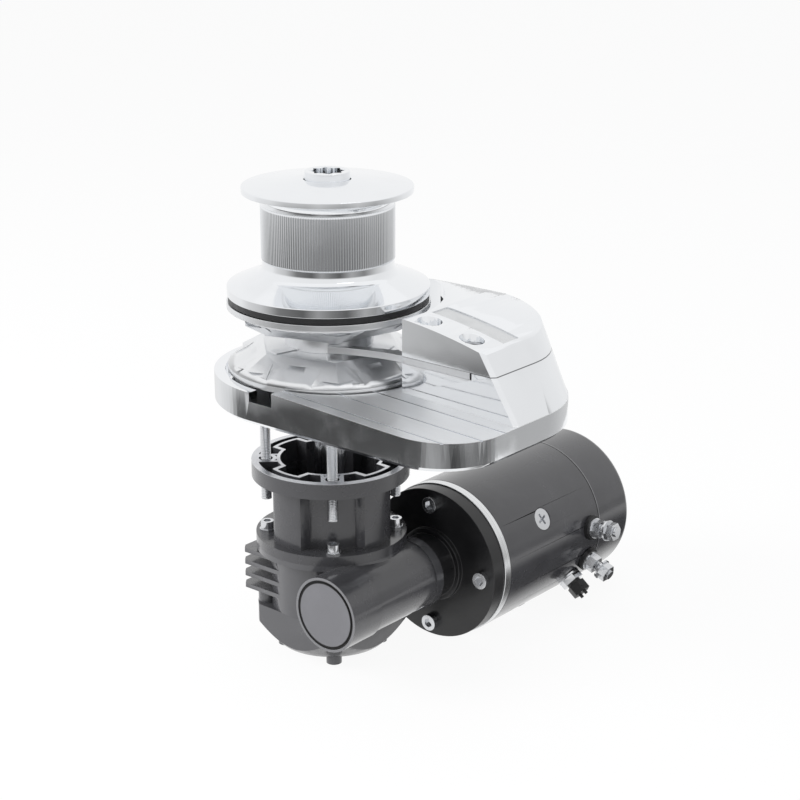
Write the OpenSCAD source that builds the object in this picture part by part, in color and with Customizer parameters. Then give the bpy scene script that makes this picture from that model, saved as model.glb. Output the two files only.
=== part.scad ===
// Vertical anchor windlass with rope drum, chain gypsy, worm gearbox and electric motor.
// The origin is on the main shaft where it meets the deck, X runs to the chain pipe end,
// Y runs along the motor and Z is up.

/* [Base plate] */
// Radius of the round end about the main shaft
base_r = 86; // [83:0.5:90]
// Distance from the main shaft to the far end
base_len = 186; // [180:1:194]
// Distance from the main shaft to the back edge
base_back = 96; // [92:1:100]
// Radius of the front corner at the far end
corner_front_r = 48; // [36:1:56]
// Radius of the back corner at the far end
corner_back_r = 75; // [60:1:80]
// Height of the sloping top above the deck, at the main shaft
plate_z = 28.6; // [27:0.2:30]
// Fall of the top for each millimetre towards the far end
plate_slope = 0.0447; // [0.03:0.005:0.05]
// Height of the rim on the round end
rim_z = 24; // [22:0.5:26]
// Height of the pocket floor below the gypsy
pocket_floor_z = 17; // [15:0.5:18]
// Gap round the gypsy in its pocket
pocket_gap = 2.3; // [1.5:0.1:3]
// Depth of the hollow under the plate
under_depth = 9; // [6:0.5:11]
// Wall round the hollow under the plate
skirt_t = 8; // [6:0.5:10]
// Distance from the main shaft to the first rib under the plate
rib_x = 84; // [80:1:90]
// Pitch of the two ribs under the plate
rib_pitch = 66; // [60:1:70]
// Thickness of the ribs under the plate
rib_t = 4; // [3:0.5:6]
// Bevel round the bottom edge of the plate
skirt_bevel = 3; // [1:0.5:4]
// Pitch of the three tread grooves
groove_pitch = 23; // [18:1:24]
// Width of a tread groove
groove_w = 1.4; // [1:0.1:2]
// Depth of a tread groove
groove_depth = 0.8; // [0.4:0.1:1.2]
// Width of the drain notch in the rim
notch_w = 22; // [16:1:26]
// Height of the drain notch floor
notch_z = 17.3; // [17:0.1:20]

/* [Chain pipe housing] */
// Distance of the flat front face from the main shaft, towards the back
front_y = -17; // [-19:0.5:-14]
// Height of the joint between the housing and its cap
split_z = 51.5; // [50:0.5:53]
// Highest point of the cap
cap_z = 81; // [79:0.5:84]
// Distance of that point from the main shaft
cap_peak_x = 45; // [40:1:50]
// Radius of the arched cap top
cap_arch_r = 440; // [400:10:600]
// Inward lean of the far end for each millimetre of height
end_lean = 0.64; // [0.55:0.02:0.68]
// Inward lean of the back wall for each millimetre of height
back_lean = 0.085; // [0.04:0.01:0.12]
// Radius of the back corner at the level of the cap top
cap_corner_r = 50; // [40:1:56]
// Radius of the rounded edge along the back of the cap
cap_edge_r = 10; // [6:1:12]
// Radius of the rounded edge between the arch and the far end
cap_end_r = 9; // [4:1:12]
// Width of the chamfer between the front face and the far end
front_chamfer = 3; // [1:0.5:4]
// Radius of the hollow front that faces the gypsy
scoop_r = 86; // [85:0.5:88]
// Where the housing ends beside the gypsy
scoop_end_x = 30; // [26:1:36]
// Wall of the housing
housing_wall = 7; // [6:0.5:8]
// Depth of the solid block that holds the cap screws
screw_block_w = 31; // [29:0.5:32]
// Bottom edge of the chain inlet window
window_z0 = 31; // [30:0.5:33]
// Top edge of the chain inlet window
window_z1 = 72; // [68:0.5:73]
// Near side of the chain inlet window
window_y0 = 36; // [34:0.5:40]
// Far side of the chain inlet window
window_y1 = 70; // [66:0.5:72]
// Distance from the main shaft to the middle of the hawse hole
hawse_x = 126; // [122:1:130]
// Offset of the hawse hole towards the back
hawse_y = 45; // [44:0.5:47]
// Radius of the ends of the hawse hole
hawse_r = 23; // [20:0.5:24]
// Length of the straight sides of the hawse hole
hawse_l = 20; // [10:1:24]
// Distance from the main shaft to the near cap screw
screw_near_x = 99; // [97:0.5:101]
// Distance between the two cap screws
screw_pitch = 37.5; // [34:0.5:40]
// Offset of the cap screws towards the back
cap_screw_y = -4; // [-4.5:0.25:-3.5]
// Diameter of the sunk holes over the cap screws
sink_d = 18; // [17:0.5:19]
// Depth of the screw seat below the top of the arch
seat_depth = 24; // [20:0.5:26]
// Near end of the name plate
name_x0 = 88.5; // [86:0.5:92]
// Length of the name plate
name_l = 64; // [56:1:66]
// Front edge of the name plate
name_y0 = 11; // [10:0.5:12]
// Width of the name plate
name_w = 18.5; // [16:0.5:20]
// Thickness of the name plate
name_t = 0.8; // [0.5:0.1:1.2]
// Depth of the recess for the name plate
recess_depth = 1.6; // [1.4:0.1:2.4]

/* [Chain stripper] */
// Thickness of the stripper
stripper_t = 5; // [4:0.25:5.5]
// Far end of the clamped part
stripper_x = 145; // [143:0.5:147]
// Width of the clamped part
stripper_w = 26; // [24:0.5:28]
// Gap in the housing at the far end of the clamped part
stripper_end_gap = 1.5; // [1:0.1:3]
// Width of the finger at its root
finger_w = 12; // [10:0.5:13]
// Width of the finger at its tip
finger_tip_w = 5; // [4:0.5:6]
// Reach of the finger from the housing into the gypsy
finger_reach = 60; // [52:1:61]
// Offset of the finger's root towards the back
finger_y = -9.5; // [-10:0.25:-8]
// Sideways bend of the finger over its length
finger_bend = 21; // [18:1:22]

/* [Gypsy] */
// Radius of the gypsy flanges
gypsy_r = 75.5; // [74:0.25:76.5]
// Height of the middle of the chain groove
gypsy_mid_z = 50.2; // [49.8:0.1:50.6]
// Half of the height of the gypsy
gypsy_half = 26.2; // [26:0.05:26.4]
// Thickness of a flange at its rim
flange_t = 4.3; // [3.5:0.1:5]
// Number of pockets for flat links
pockets = 6; // [6]
// Radius of the hub between the halves
gypsy_hub_r = 33; // [31:0.5:34]
// Half of the height of the slot for upright links
slot_half = 6.5; // [6:0.1:6.8]
// Radius where the flange cone ends
cone_r = 55; // [54:0.5:57]
// Rise of the flange cone
cone_rise = 10.7; // [10:0.1:11]
// Flat of a pocket beside the slot, from the axis
pocket_flat = 48.4; // [47:0.2:50]
// Flat of a pocket at its foot, from the axis
pocket_foot = 63.4; // [62:0.2:64]
// Height of the foot of a pocket above the flange face
pocket_foot_z = 9; // [8:0.25:10]
// Radius where the flat top of a ridge ends
ridge_top_r = 50; // [48:0.5:52]
// Radius at the foot of a ridge
ridge_r = 69; // [67:0.5:71]
// Height of the foot of a ridge above the flange face
ridge_foot_z = 7; // [6:0.25:8]
// Half width of a ridge at the hub
ridge_in = 5.5; // [5:0.25:7]
// Half width of a ridge at its foot
ridge_out = 19; // [16:0.5:20]
// Depth of the pocket edges below the flat tops of the ridges
pocket_drop = 0.6; // [0.4:0.1:1]
// Angle of the first ridge about the main shaft
ridge_angle = -43.5; // [-46:0.5:-40]

/* [Rope drum] */
// Radius of the top rim
drum_top_r = 63; // [61:0.5:66]
// Height of the top rim's upper edge
drum_top_z = 161.5; // [158:0.5:164]
// Thickness of the top rim
drum_rim_t = 4.6; // [4:0.2:6]
// Rise of the drum top from its rim to its middle
drum_dome = 4.9; // [3:0.1:6]
// Radius of the barrel
barrel_r = 48.7; // [47:0.2:51]
// Radius of the lower rim
drum_low_r = 75; // [73:0.5:77]
// Height of the lower rim's upper edge
drum_low_z = 87.8; // [87:0.2:89]
// Rise of the cone between lower rim and barrel
drum_cone_rise = 11; // [9:0.5:13]
// Fillet under the top rim
drum_fillet = 8; // [6:0.5:10]
// Height of the drum's underside
drum_base_z = 81.3; // [81:0.1:82]
// Radius of the drum hub
drum_hub_r = 24; // [22:0.5:28]
// Wall of the drum
drum_wall = 6; // [5:0.5:7]

/* [Clutch] */
// Radius of the black clutch ring
ring_r = 74.3; // [73:0.1:74.8]
// Radius of the upper cone at its big end
cone_big_r = 45; // [43:0.5:46]
// Radius of a cone at its small end
cone_small_r = 39; // [37:0.5:40]
// Height of a cone
cone_h = 13; // [11:0.5:14]
// Gap between the faces of a released clutch
clutch_gap = 0.3; // [0.25:0.05:0.4]
// Outer radius of the clutch nut
nut_r = 16.6; // [16:0.1:17]
// Height of the top of the clutch nut
nut_top_z = 172; // [170:0.5:174]
// Height of the shoulder under the clutch nut
nut_seat_z = 118; // [114:0.5:122]
// Corner radius of the handle socket
socket_r = 13.7; // [13:0.1:14]
// Depth of the handle socket
socket_depth = 25; // [20:0.5:27]

/* [Main shaft] */
// Radius of the main shaft
shaft_r = 12.5; // [12:0.25:13]
// Radius of its threaded top
thread_r = 10; // [9.5:0.25:10.5]
// Height of the top of the thread
thread_top_z = 141; // [138:0.5:143]
// Lower end of the shaft
shaft_end_z = -188.5; // [-189:0.5:-186]
// Width of the feather keys
key_w = 8; // [7:0.5:8]
// Height of the feather keys
key_h = 7; // [6:0.5:7]
// Running clearance on a radius
run_fit = 0.05; // [0.03:0.01:0.08]
// Assembly clearance on a radius
fit = 0.05; // [0.03:0.01:0.08]

/* [Deck spacer] */
// Thickness of the deck that the windlass clamps
deck_gap = 48.5; // [40:0.5:52]
// Radius of the top flange
spacer_r = 60.2; // [59:0.2:62]
// Thickness of the top flange
spacer_flange_t = 12.3; // [11:0.1:14]
// Radius of the tube
tube_r = 50.2; // [49.6:0.2:50.8]
// Wall of the tube and its bosses
tube_wall = 2.6; // [2.2:0.1:3]
// Outer wall of the top flange
flange_wall = 5; // [4:0.25:5.5]
// Radius of the tube inside a recess
recess_r = 41; // [40:0.25:42]
// Half angle of a recess at its floor
recess_half = 24.5; // [23:0.5:26]
// Flare of a recess on each side
recess_flare = 9; // [4:1:12]
// Width of the boss round a stud
stud_boss_w = 17; // [14:0.5:18]
// Length of the tube below the top flange
tube_l = 46.1; // [42:0.5:50]
// Thickness of the bottom flange
foot_t = 7.5; // [6:0.25:9]
// Radius of the bottom flange
foot_r = 57.8; // [57:0.2:59]
// Radius of the circle of deck studs
stud_circle_r = 49.2; // [48.8:0.1:49.6]
// Angle of the first deck stud
stud_angle = -47; // [-50:0.5:-44]
// Diameter of a deck stud
stud_d = 8; // [8]
// Diameter of a deck stud inside its thread in the base plate
stud_core_d = 6.8; // [6.4:0.1:7]
// Diameter of the hole for a stud in the spacer
stud_hole_d = 10.6; // [10.4:0.1:11]
// Length of a stud below the top flange
stud_tail = 20; // [14:0.5:24]
// Length of a stud inside the base plate
stud_grip = 14; // [10:0.5:15]

/* [Gearbox] */
// Thickness of the gearbox top flange
box_flange_t = 4.5; // [4:0.25:6]
// Radius of the gearbox body
box_r = 47; // [46.5:0.25:48]
// Radius of the wheel chamber
chamber_r = 41.6; // [41.2:0.1:42]
// Bottom face of the gearbox body
box_bottom_z = -165.6; // [-167:0.2:-165]
// Roof between the top flange and the wheel chamber
box_roof_t = 14; // [13.5:0.25:15]
// Distance of the fins from the main shaft
fin_x = 53.5; // [51:0.5:55]
// Half width of a fin
fin_half_w = 45; // [42:0.5:46]
// Radius that trims the corners of the fins
fin_trim_r = 67; // [64:0.5:68]
// Thickness of a fin
fin_t = 3.4; // [2.5:0.1:4]
// Pitch of the fins
fin_pitch = 9.8; // [9:0.1:10.4]
// Number of fins
fin_count = 4; // [4]
// Height of the lowest fin
fin_low_z = -155; // [-156:0.5:-154]
// Flats of the bottom cover, from the axis
cover_flat = 46; // [45.5:0.25:47]
// Radius over the corners of the bottom cover
cover_r = 57.5; // [56.5:0.25:58.5]
// Thickness of the bottom cover at its edge
cover_t = 14.5; // [13:0.25:16]
// Depth of the dish under the cover
dish_h = 15.5; // [14:0.25:17]
// Radius of the flat under the dish
dish_r = 43; // [41:0.5:45]
// Length of the lugs under the cover
lug_h = 7; // [5:0.5:8]
// Radius of a lug
lug_r = 6; // [5:0.5:6.5]
// Radius of the circle of lugs
lug_circle_r = 36.5; // [34:0.5:37]

/* [Worm drive] */
// Number of teeth on the worm wheel
teeth = 30; // [30]
// Axial module of the worm
module_mm = 2.5; // [2.5]
// Distance between the main shaft and the worm
centre_x = 49.3; // [49.3]
// Height of the worm below the deck
worm_z = -143.5; // [-143.5]
// Play between the flanks on the pitch line
backlash = 0.9; // [0.85:0.05:1.1]
// Width of the toothed rim
wheel_w = 18; // [16:0.5:19]
// Length of the worm thread
thread_l = 34; // [28:1:36]
// Radius of the worm shaft
worm_shaft_r = 8.5; // [8:0.25:8.5]
// Radius of the worm tube's front boss
boss_r = 28.9; // [28.6:0.1:29]
// Radius of the worm tube
sleeve_r = 27.6; // [27:0.1:28.4]
// Front face of the worm tube
sleeve_front_y = -63.4; // [-65:0.2:-62]
// Rear end of the front boss
boss_rear_y = -32; // [-36:0.5:-30]
// Rear end of the worm tube
sleeve_rear_y = 41; // [40:0.25:42]
// Length of the collar at the rear of the worm tube
collar_l = 8; // [6:0.5:9]
// Radius of the end cap
end_cap_r = 25.2; // [24.5:0.1:25.6]
// Width of the seal ring round the end cap
seal_w = 1.6; // [1.4:0.1:1.8]
// Thickness of the end cap
end_cap_t = 6; // [5:0.25:7]
// Outer radius of the worm bearings
worm_bearing_r = 20; // [19:0.25:20.5]
// Width of the worm bearings
worm_bearing_w = 11; // [10:0.5:12]

/* [Motor] */
// Step from the radius of the yoke down to the flange
flange_step = 1; // [0:0.2:1.8]
// Front face of the flange
flange_y = 62.8; // [62:0.2:64]
// Thickness of the flange
motor_flange_t = 13; // [12:0.25:14]
// Radius of the flange neck
neck_r = 25.8; // [25:0.1:26]
// Radius of the low boss on the flange
flange_boss_r = 29.5; // [29:0.1:31]
// Width of the aluminium ring
ring_w = 7.2; // [6:0.2:8]
// Radius of the yoke
yoke_r = 61.8; // [61:0.2:63]
// Wall of the yoke
yoke_t = 5; // [4:0.25:5.5]
// Length of the yoke
yoke_l = 121; // [116:1:126]
// Length of the rear cap
rear_l = 46; // [42:1:50]
// Radius of the rounded rear edge
rear_edge_r = 7; // [5:0.5:9]
// Depth of a pole with its shoe, inside the yoke
pole_depth = 18.6; // [18:0.1:20]
// Length of the armature core
armature_l = 70; // [64:1:74]
// Air gap round the armature
air_gap = 1.2; // [1:0.1:1.6]
// Angle of the first pole screw
pole_angle = 28; // [26:0.5:30]
// Head diameter of a pole screw
pole_head_d = 18; // [16:0.5:19]
// Distance of the flange screws from the outside of the yoke
flange_screw_inset = 12; // [11:0.2:13]
// Radius of the commutator
commutator_r = 20; // [18:0.5:21]
// Length of the commutator
commutator_l = 20; // [16:0.5:22]

/* [Terminals] */
// Angle of the upper terminal about the motor
terminal_a = 5; // [3:1:7]
// Angle of the lower terminal
terminal_b = -21; // [-23:1:-19]
// Angle of the thermal switch
switch_angle = -37; // [-40:1:-36]
// Distance of the terminals from the motor's rear seam
terminal_back = 12; // [11:0.5:14]
// Distance of the thermal switch from the motor's rear seam
switch_back = 24; // [22:0.5:28]
// Diameter of the terminal studs
terminal_d = 8; // [8]
// Height of the terminal studs above the yoke
terminal_h = 26; // [23:0.5:28]

/* [Hidden] */

$fn = 64;
eps = 0.01;
cut = 1;

far = 400;
plate_end_z = plate_z - plate_slope * base_len;
gypsy_bottom_z = gypsy_mid_z - gypsy_half;
gypsy_top_z = gypsy_mid_z + gypsy_half;
pocket_r = gypsy_r + pocket_gap;
block_back_y = front_y + screw_block_w;
hub_boss_r = 34;
stud_boss_r = 9;
tip_gap = 0.2;
spacer_screw_d = 6;
cap_screws_x = [screw_near_x, screw_near_x + screw_pitch];
cap_screw_d = 10;
cap_screw_head_d = 16;
cap_screw_head_h = 10;

spacer_top_z = -deck_gap;
wall_angle = asin(tube_wall / recess_r);
tube_top_z = spacer_top_z - spacer_flange_t;
foot_top_z = tube_top_z - tube_l;
foot_bottom_z = foot_top_z - foot_t;
box_flange_bottom_z = foot_bottom_z - box_flange_t;
box_roof_z = foot_bottom_z - box_roof_t;
cover_bottom_z = box_bottom_z - cover_t - dish_h;
stud_end_z = tube_top_z - stud_tail;
bearing_r = 23.5;
bearing_w = 12;
seal_r = 18;
seal_h = 5;

wheel_pitch_r = teeth * module_mm / 2;
worm_pitch_r = centre_x - wheel_pitch_r;
axial_pitch = PI * module_mm;
lead_angle = atan(axial_pitch / (2 * PI * worm_pitch_r));
pressure = 20;
wheel_tip_r = wheel_pitch_r + module_mm;
wheel_root_r = wheel_pitch_r - 1.25 * module_mm;
worm_tip_r = worm_pitch_r + module_mm;
worm_root_r = worm_pitch_r - 1.25 * module_mm;
wheel_hub_r = 22;
wheel_hub_h = 24;
worm_chamber_r = worm_tip_r + 3;
sleeve_gap = 0.2;
cover_screw_circle_r = 50.2;
cover_screw_d = 5;
cover_head_d = 9;
cover_head_h = 5;
cover_boss_r = 7;
cover_screw_grip = 4;
cover_floor_t = 6;
cover_seat_z = box_bottom_z - 9;
sleeve_bearing_y = sleeve_rear_y - worm_bearing_w;
front_bearing_y = sleeve_front_y + end_cap_t + fit;
chamber_front_y = front_bearing_y + worm_bearing_w;

slot_z = gypsy_half - slot_half;
cone_taper = (cone_big_r - cone_small_r) / cone_h;
cone_shift = clutch_gap * sqrt(1 + cone_taper * cone_taper);
cone_base_z = gypsy_bottom_z - 3.5;
gypsy_bush_r = shaft_r + 3.5;
key_lift = key_h / 2;
wheel_hub_z = worm_z - wheel_hub_h / 2;
hub_disc_r = 28;
hub_disc_h = 14;
circlip_t = 1.2;
circlip_w = 4;
circlip_z = [wheel_hub_z - circlip_t - 0.1, wheel_hub_z + wheel_hub_h + 0.1];
washer_t = 1.6;
nut_well_r = nut_r + 0.6;
lower_key_z = [gypsy_bottom_z - 1, gypsy_bottom_z + cone_h - 2];
wheel_key_z = [worm_z - 9, worm_z + 9];
drum_key_z = [drum_base_z + 9, nut_seat_z - 9];

ring_y = flange_y + motor_flange_t;
yoke_y = ring_y + ring_w;
seam_y = yoke_y + yoke_l;
rear_y = seam_y + rear_l;
yoke_in_r = yoke_r - yoke_t;
flange_r = yoke_r - flange_step;
flange_screw_circle_r = yoke_r - flange_screw_inset;
motor_bearing_r = 17.5;
motor_bearing_w = 11;
front_motor_bearing_y = ring_y - motor_bearing_w;
neck_bore_r = 15;
motor_screw_d = 8;
motor_head_d = 13;
motor_head_h = 5;
front_ring_in_r = flange_screw_circle_r - motor_head_d / 2 - 3.3;
pole_r = yoke_in_r - pole_depth;
armature_r = pole_r - air_gap;
armature_y = yoke_y + 16;
winding_l = 9;
armature_end_y = armature_y + armature_l;
pole_y = armature_y + armature_l / 2;
pole_shoe_t = 5;
pole_shoe_half = 32;
pole_core_w = 24;
pole_screw_d = 8;
pole_screw_l = 12;
pole_head_sink = 0.7;
coil_w = 40;
coil_h = pole_depth - pole_shoe_t - 1.1;
coil_over = 8;
commutator_y = armature_end_y + winding_l + 1;
brush_y = commutator_y + commutator_l / 2;
brush_l = 14;
brush_w = 8;
brush_h = 12.5;
brush_gap = 0.3;
box_gap = 3;
brush_plate_y = seam_y - 4;
brush_plate_t = 3;
holder_t = 2;
rear_wall = 6;
rear_bearing_y = rear_y - rear_wall - 1 - motor_bearing_w;
bolt_d = 6;
bolt_angle = pole_angle + 45;
coupling_r = 13.5;
coupling_y = sleeve_rear_y + 2;
coupling_l = 18;
shaft_joint_y = coupling_y + coupling_l / 2;
terminal_y = seam_y - terminal_back;
switch_y = seam_y - switch_back;
terminal_tip_r = yoke_r + terminal_h;
bush_r = 6;
bush_in = 3;
disc_r = 10;
disc_t = 3.5;
stud_in = 7;
terminal_nut_w = 13;
terminal_nut_h = 6.5;
terminal_washer_r = 8.5;
terminal_washer_t = 1.6;
lug_space = 10;
switch_cap_r = yoke_r + 8.5;
switch_cap_h = 9;
key_gap = 0.3;
finger_root = 12;
kink_inset = 0.15;
round_out = 0.4;

module raise(z) {
    translate([0, 0, z])
        children();
}

// A round hole from height z upward.
module drill(z, r) {
    raise(z)
        cylinder(h = far, r = r);
}

// Flat outlines

// The plan of the base or of a level of the housing: a round end, straight front,
// square-cut far end and a back that runs out tangent to the round end.
module plan(end_r, length, back, front_r, back_r) {
    front_c = [length - front_r, -end_r + front_r];
    back_c = [length - back_r, back - back_r];
    lean = atan2(back_c[1], back_c[0]);
    normal = lean + acos((end_r - back_r) / norm(back_c));
    dir = [cos(normal), sin(normal)];
    circle(end_r);
    translate(front_c)
        circle(front_r);
    translate(back_c)
        circle(back_r);
    polygon([[0, -end_r], [front_c[0], -end_r], [length, front_c[1]], [length, back_c[1]],
        back_c + back_r * dir, end_r * dir]);
}

module base_plan(inset = 0) {
    plan(base_r - inset, base_len - inset, base_back - inset,
        corner_front_r - inset, corner_back_r - inset);
}

module hawse_plan(grow = 0) {
    for (side = [-1, 1])
        translate([hawse_x + side * hawse_l / 2, hawse_y])
            circle(hawse_r + grow);
    translate([hawse_x - hawse_l / 2, hawse_y - hawse_r - grow])
        square([hawse_l, 2 * (hawse_r + grow)]);
}

// One level of the housing, leaning in with height above the end of the plate.
module housing_level(z, inset = 0) {
    rise = max(0, z - plate_end_z);
    share = rise / (cap_z - plate_end_z);
    corner = corner_back_r + (cap_corner_r - corner_back_r) * share - inset;
    end_x = base_len - end_lean * rise - inset;
    raise(z)
        linear_extrude(eps)
            intersection() {
                plan(base_r - inset, end_x, base_back - back_lean * rise - inset,
                    corner_front_r, corner);
                polygon([[scoop_end_x, front_y], [end_x - front_chamfer, front_y],
                    [end_x, front_y + front_chamfer], [end_x, far], [scoop_end_x, far]]);
            }
}

// Straight walls that lean in, with a rounded edge along the back of the top.
module housing_block(inset = 0) {
    $fn = 48;
    edge = cap_edge_r;
    hull() {
        housing_level(plate_end_z - 3, inset + kink_inset);
        housing_level(plate_end_z, inset + kink_inset);
        housing_level(cap_z - edge, inset);
        housing_level(cap_z - 0.3 * edge, inset + 0.3 * edge);
        housing_level(cap_z, inset + edge);
    }
}

// Everything under the arched top of the cap, lowered by drop, with a rounded edge
// where the arch meets the leaning far end.
module under_arch(drop = 0) {
    arch_c = [cap_peak_x, cap_z - drop - cap_arch_r];
    lean = atan(end_lean);
    out = [cos(lean), sin(lean)];
    wall = out * [base_len, plate_end_z] + round_out;
    angle = lean + acos((wall - cap_end_r - out * arch_c) / (cap_arch_r - cap_end_r));
    up = [cos(angle), sin(angle)];
    round_c = arch_c + (cap_arch_r - cap_end_r) * up;
    translate([0, far / 2, 0])
        rotate([90, 0, 0])
            linear_extrude(far)
                difference() {
                    intersection() {
                        translate(arch_c)
                            circle(cap_arch_r, $fn = 256);
                        translate([-far / 2, 0])
                            square([far, far / 2]);
                    }
                    difference() {
                        polygon([round_c, round_c + 2 * cap_end_r * up,
                            round_c + 2 * cap_end_r * (up + out), round_c + 2 * cap_end_r * out]);
                        translate(round_c)
                            circle(cap_end_r);
                    }
                }
}

module housing_space() {
    difference() {
        intersection() {
            housing_block(housing_wall);
            under_arch(housing_wall);
            translate([0, block_back_y, plate_z - cut])
                cube(far);
        }
        cylinder(h = far, r = scoop_r + housing_wall);
    }
}

module chain_window() {
    translate([scoop_end_x, window_y0, window_z0])
        cube([hawse_x - scoop_end_x, window_y1 - window_y0, window_z1 - window_z0]);
}

module cap_screw_places() {
    for (x = cap_screws_x)
        translate([x, cap_screw_y, 0])
            children();
}

module stud_places() {
    for (i = [0 : 3])
        rotate(stud_angle + 90 * i)
            translate([stud_circle_r, 0, 0])
                children();
}

// Base plate and housing

module plate_top_cut() {
    slope = atan(plate_slope);
    translate([0, -far / 2, plate_z])
        rotate([0, slope, 0])
            translate([-far / 2, 0, 0])
                cube([far, far, far]);
}

module plate_solid() {
    difference() {
        union() {
            raise(skirt_bevel)
                linear_extrude(plate_z)
                    base_plan();
            hull() {
                linear_extrude(eps)
                    base_plan(skirt_bevel);
                raise(skirt_bevel + 0.5)
                    linear_extrude(eps)
                        base_plan(kink_inset);
            }
        }
        plate_top_cut();
        translate([-far, -far / 2, rim_z])
            cube([far, far, far]);
        drill(pocket_floor_z, pocket_r);
        translate([-cut, -base_r - cut, notch_z])
            cube([notch_w, base_r - pocket_r + 6, far]);
        for (i = [0 : 2])
            translate([0, front_y - 13 - i * groove_pitch, 0])
                tread_groove();
    }
}

module tread_groove() {
    slope = atan(plate_slope);
    raise(plate_z)
        rotate([0, slope, 0])
            translate([0, -groove_w / 2, -groove_depth])
                cube([far, groove_w, far]);
}

module plate_hollow() {
    raise(-cut)
        linear_extrude(under_depth + cut)
            difference() {
                base_plan(skirt_t);
                circle(hub_boss_r);
                stud_places()
                    circle(stud_boss_r);
                hawse_plan(skirt_t);
                for (x = cap_screws_x)
                    translate([x, cap_screw_y])
                        circle(stud_boss_r);
                for (x = [rib_x, rib_x + rib_pitch])
                    translate([x, -base_r])
                        square([rib_t, 2 * far]);
            }
}

module base_plate() {
    color("gainsboro")
        difference() {
            union() {
                plate_solid();
                difference() {
                    housing_block();
                    drill(split_z, far);
                    drill(-cut, scoop_r);
                }
            }
            housing_space();
            raise(-cut)
                linear_extrude(plate_z + 2 * cut)
                    hawse_plan();
            chain_window();
            plate_hollow();
            raise(split_z - stripper_t)
                linear_extrude(far)
                    stripper_clamp_plan(scoop_end_x, fit, stripper_end_gap);
            cap_screw_places()
                drill(under_depth + 4, cap_screw_d / 2);
            stud_places()
                raise(-cut)
                    cylinder(h = stud_grip + cut, d = stud_core_d + 2 * fit);
            drill(-cut, shaft_r + 3.5);
            drill(pocket_floor_z - seal_h, seal_r);
        }
}

module housing_cap() {
    color("gainsboro")
        difference() {
            intersection() {
                housing_block();
                under_arch();
                translate([-far / 2, -far / 2, split_z])
                    cube(far);
            }
            cylinder(h = far, r = scoop_r);
            housing_space();
            chain_window();
            cap_screw_places() {
                cylinder(h = far, d = cap_screw_d + 1);
                drill(cap_z - seat_depth, sink_d / 2);
            }
            name_recess();
        }
}

module name_recess() {
    difference() {
        translate([name_x0, name_y0, 0])
            cube([name_l, name_w, far]);
        under_arch(recess_depth);
    }
}

module name_plate() {
    color("silver")
        intersection() {
            translate([name_x0 + fit, name_y0 + fit, split_z])
                cube([name_l - 2 * fit, name_w - 2 * fit, far]);
            difference() {
                under_arch(recess_depth - name_t);
                under_arch(recess_depth);
            }
        }
}

module cap_screws() {
    color("silver")
        cap_screw_places()
            raise(cap_z - seat_depth)
                socket_screw(cap_screw_d - 2 * fit, cap_z - seat_depth - under_depth - 6,
                    cap_screw_head_d, cap_screw_head_h);
}

// Stripper between the housing and its cap, with a finger that reaches into the gypsy
module stripper_clamp_plan(start_x, grow = 0, end_gap = 0) {
    r = 4;
    end_x = stripper_x + end_gap;
    translate([start_x, front_y - grow])
        square([end_x - r - start_x, stripper_w + 2 * grow]);
    translate([start_x, front_y - grow])
        square([end_x + grow - start_x, stripper_w - r + grow]);
    translate([end_x - r, front_y + stripper_w - r])
        circle(r + grow);
}

function finger_mid(t) = [scoop_r + finger_root - (finger_reach + finger_root) * t,
    finger_y - finger_bend * t * t];

function finger_side(t, side) =
    let (step = finger_mid(t + 0.01) - finger_mid(t - 0.01),
        half = (finger_w + (finger_tip_w - finger_w) * t) / 2)
        finger_mid(t) + side * half * [-step[1], step[0]] / norm(step);

module chain_stripper() {
    steps = 8;
    color("lightgray")
        difference() {
            raise(split_z - stripper_t) {
                linear_extrude(stripper_t)
                    stripper_clamp_plan(scoop_r);
                linear_extrude(stripper_t)
                    polygon(concat([for (i = [0 : steps]) finger_side(i / steps, 1)],
                        [for (i = [steps : -1 : 0]) finger_side(i / steps, -1)]));
            }
            cap_screw_places()
                cylinder(h = far, d = cap_screw_d + 1);
        }
}

// Screws

module socket_screw(d, l, head_d, head_h) {
    raise(-l)
        cylinder(h = l + eps, d = d);
    difference() {
        cylinder(h = head_h, d = head_d);
        raise(head_h * 0.45)
            cylinder(h = head_h, d = head_d * 0.58, $fn = 6);
    }
}

module hex_nut(across, h, bore) {
    difference() {
        cylinder(h = h, d = across / cos(30), $fn = 6);
        raise(-cut)
            cylinder(h = h + 2 * cut, d = bore);
    }
}

module ring(outer, inner, h) {
    difference() {
        cylinder(h = h, r = outer);
        raise(-cut)
            cylinder(h = h + 2 * cut, r = inner);
    }
}

// Bearings of the main shaft in the base plate

module upper_bush() {
    color("goldenrod")
        ring(shaft_r + 3.5 - fit, shaft_r + run_fit, pocket_floor_z - seal_h);
}

module upper_seal() {
    color("dimgray")
        raise(pocket_floor_z - seal_h + fit)
            ring(seal_r - fit, shaft_r + run_fit, seal_h - fit);
}

module deck_studs() {
    color("silver")
        stud_places() {
            raise(stud_end_z)
                cylinder(h = -stud_end_z, d = stud_d);
            raise(-cut)
                cylinder(h = stud_grip + cut - tip_gap, d = stud_core_d);
        }
}

// Deck spacer, a cast tube with lobes between the studs

module lobe_plan(r, inner_r, half, out) {
    difference() {
        circle(r);
        for (i = [0 : 3])
            rotate(stud_angle + 90 * i)
                recess_plan(r, inner_r, half, out);
    }
}

// A recess round one stud, cut out of the tube's outline.
module recess_plan(r, inner_r, half, out) {
    reach = r + 20;
    difference() {
        polygon([[inner_r * cos(half), -inner_r * sin(half)],
            [reach * cos(half + out), -reach * sin(half + out)],
            [reach, 0],
            [reach * cos(half + out), reach * sin(half + out)],
            [inner_r * cos(half), inner_r * sin(half)]]);
        circle(inner_r);
    }
}

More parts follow.
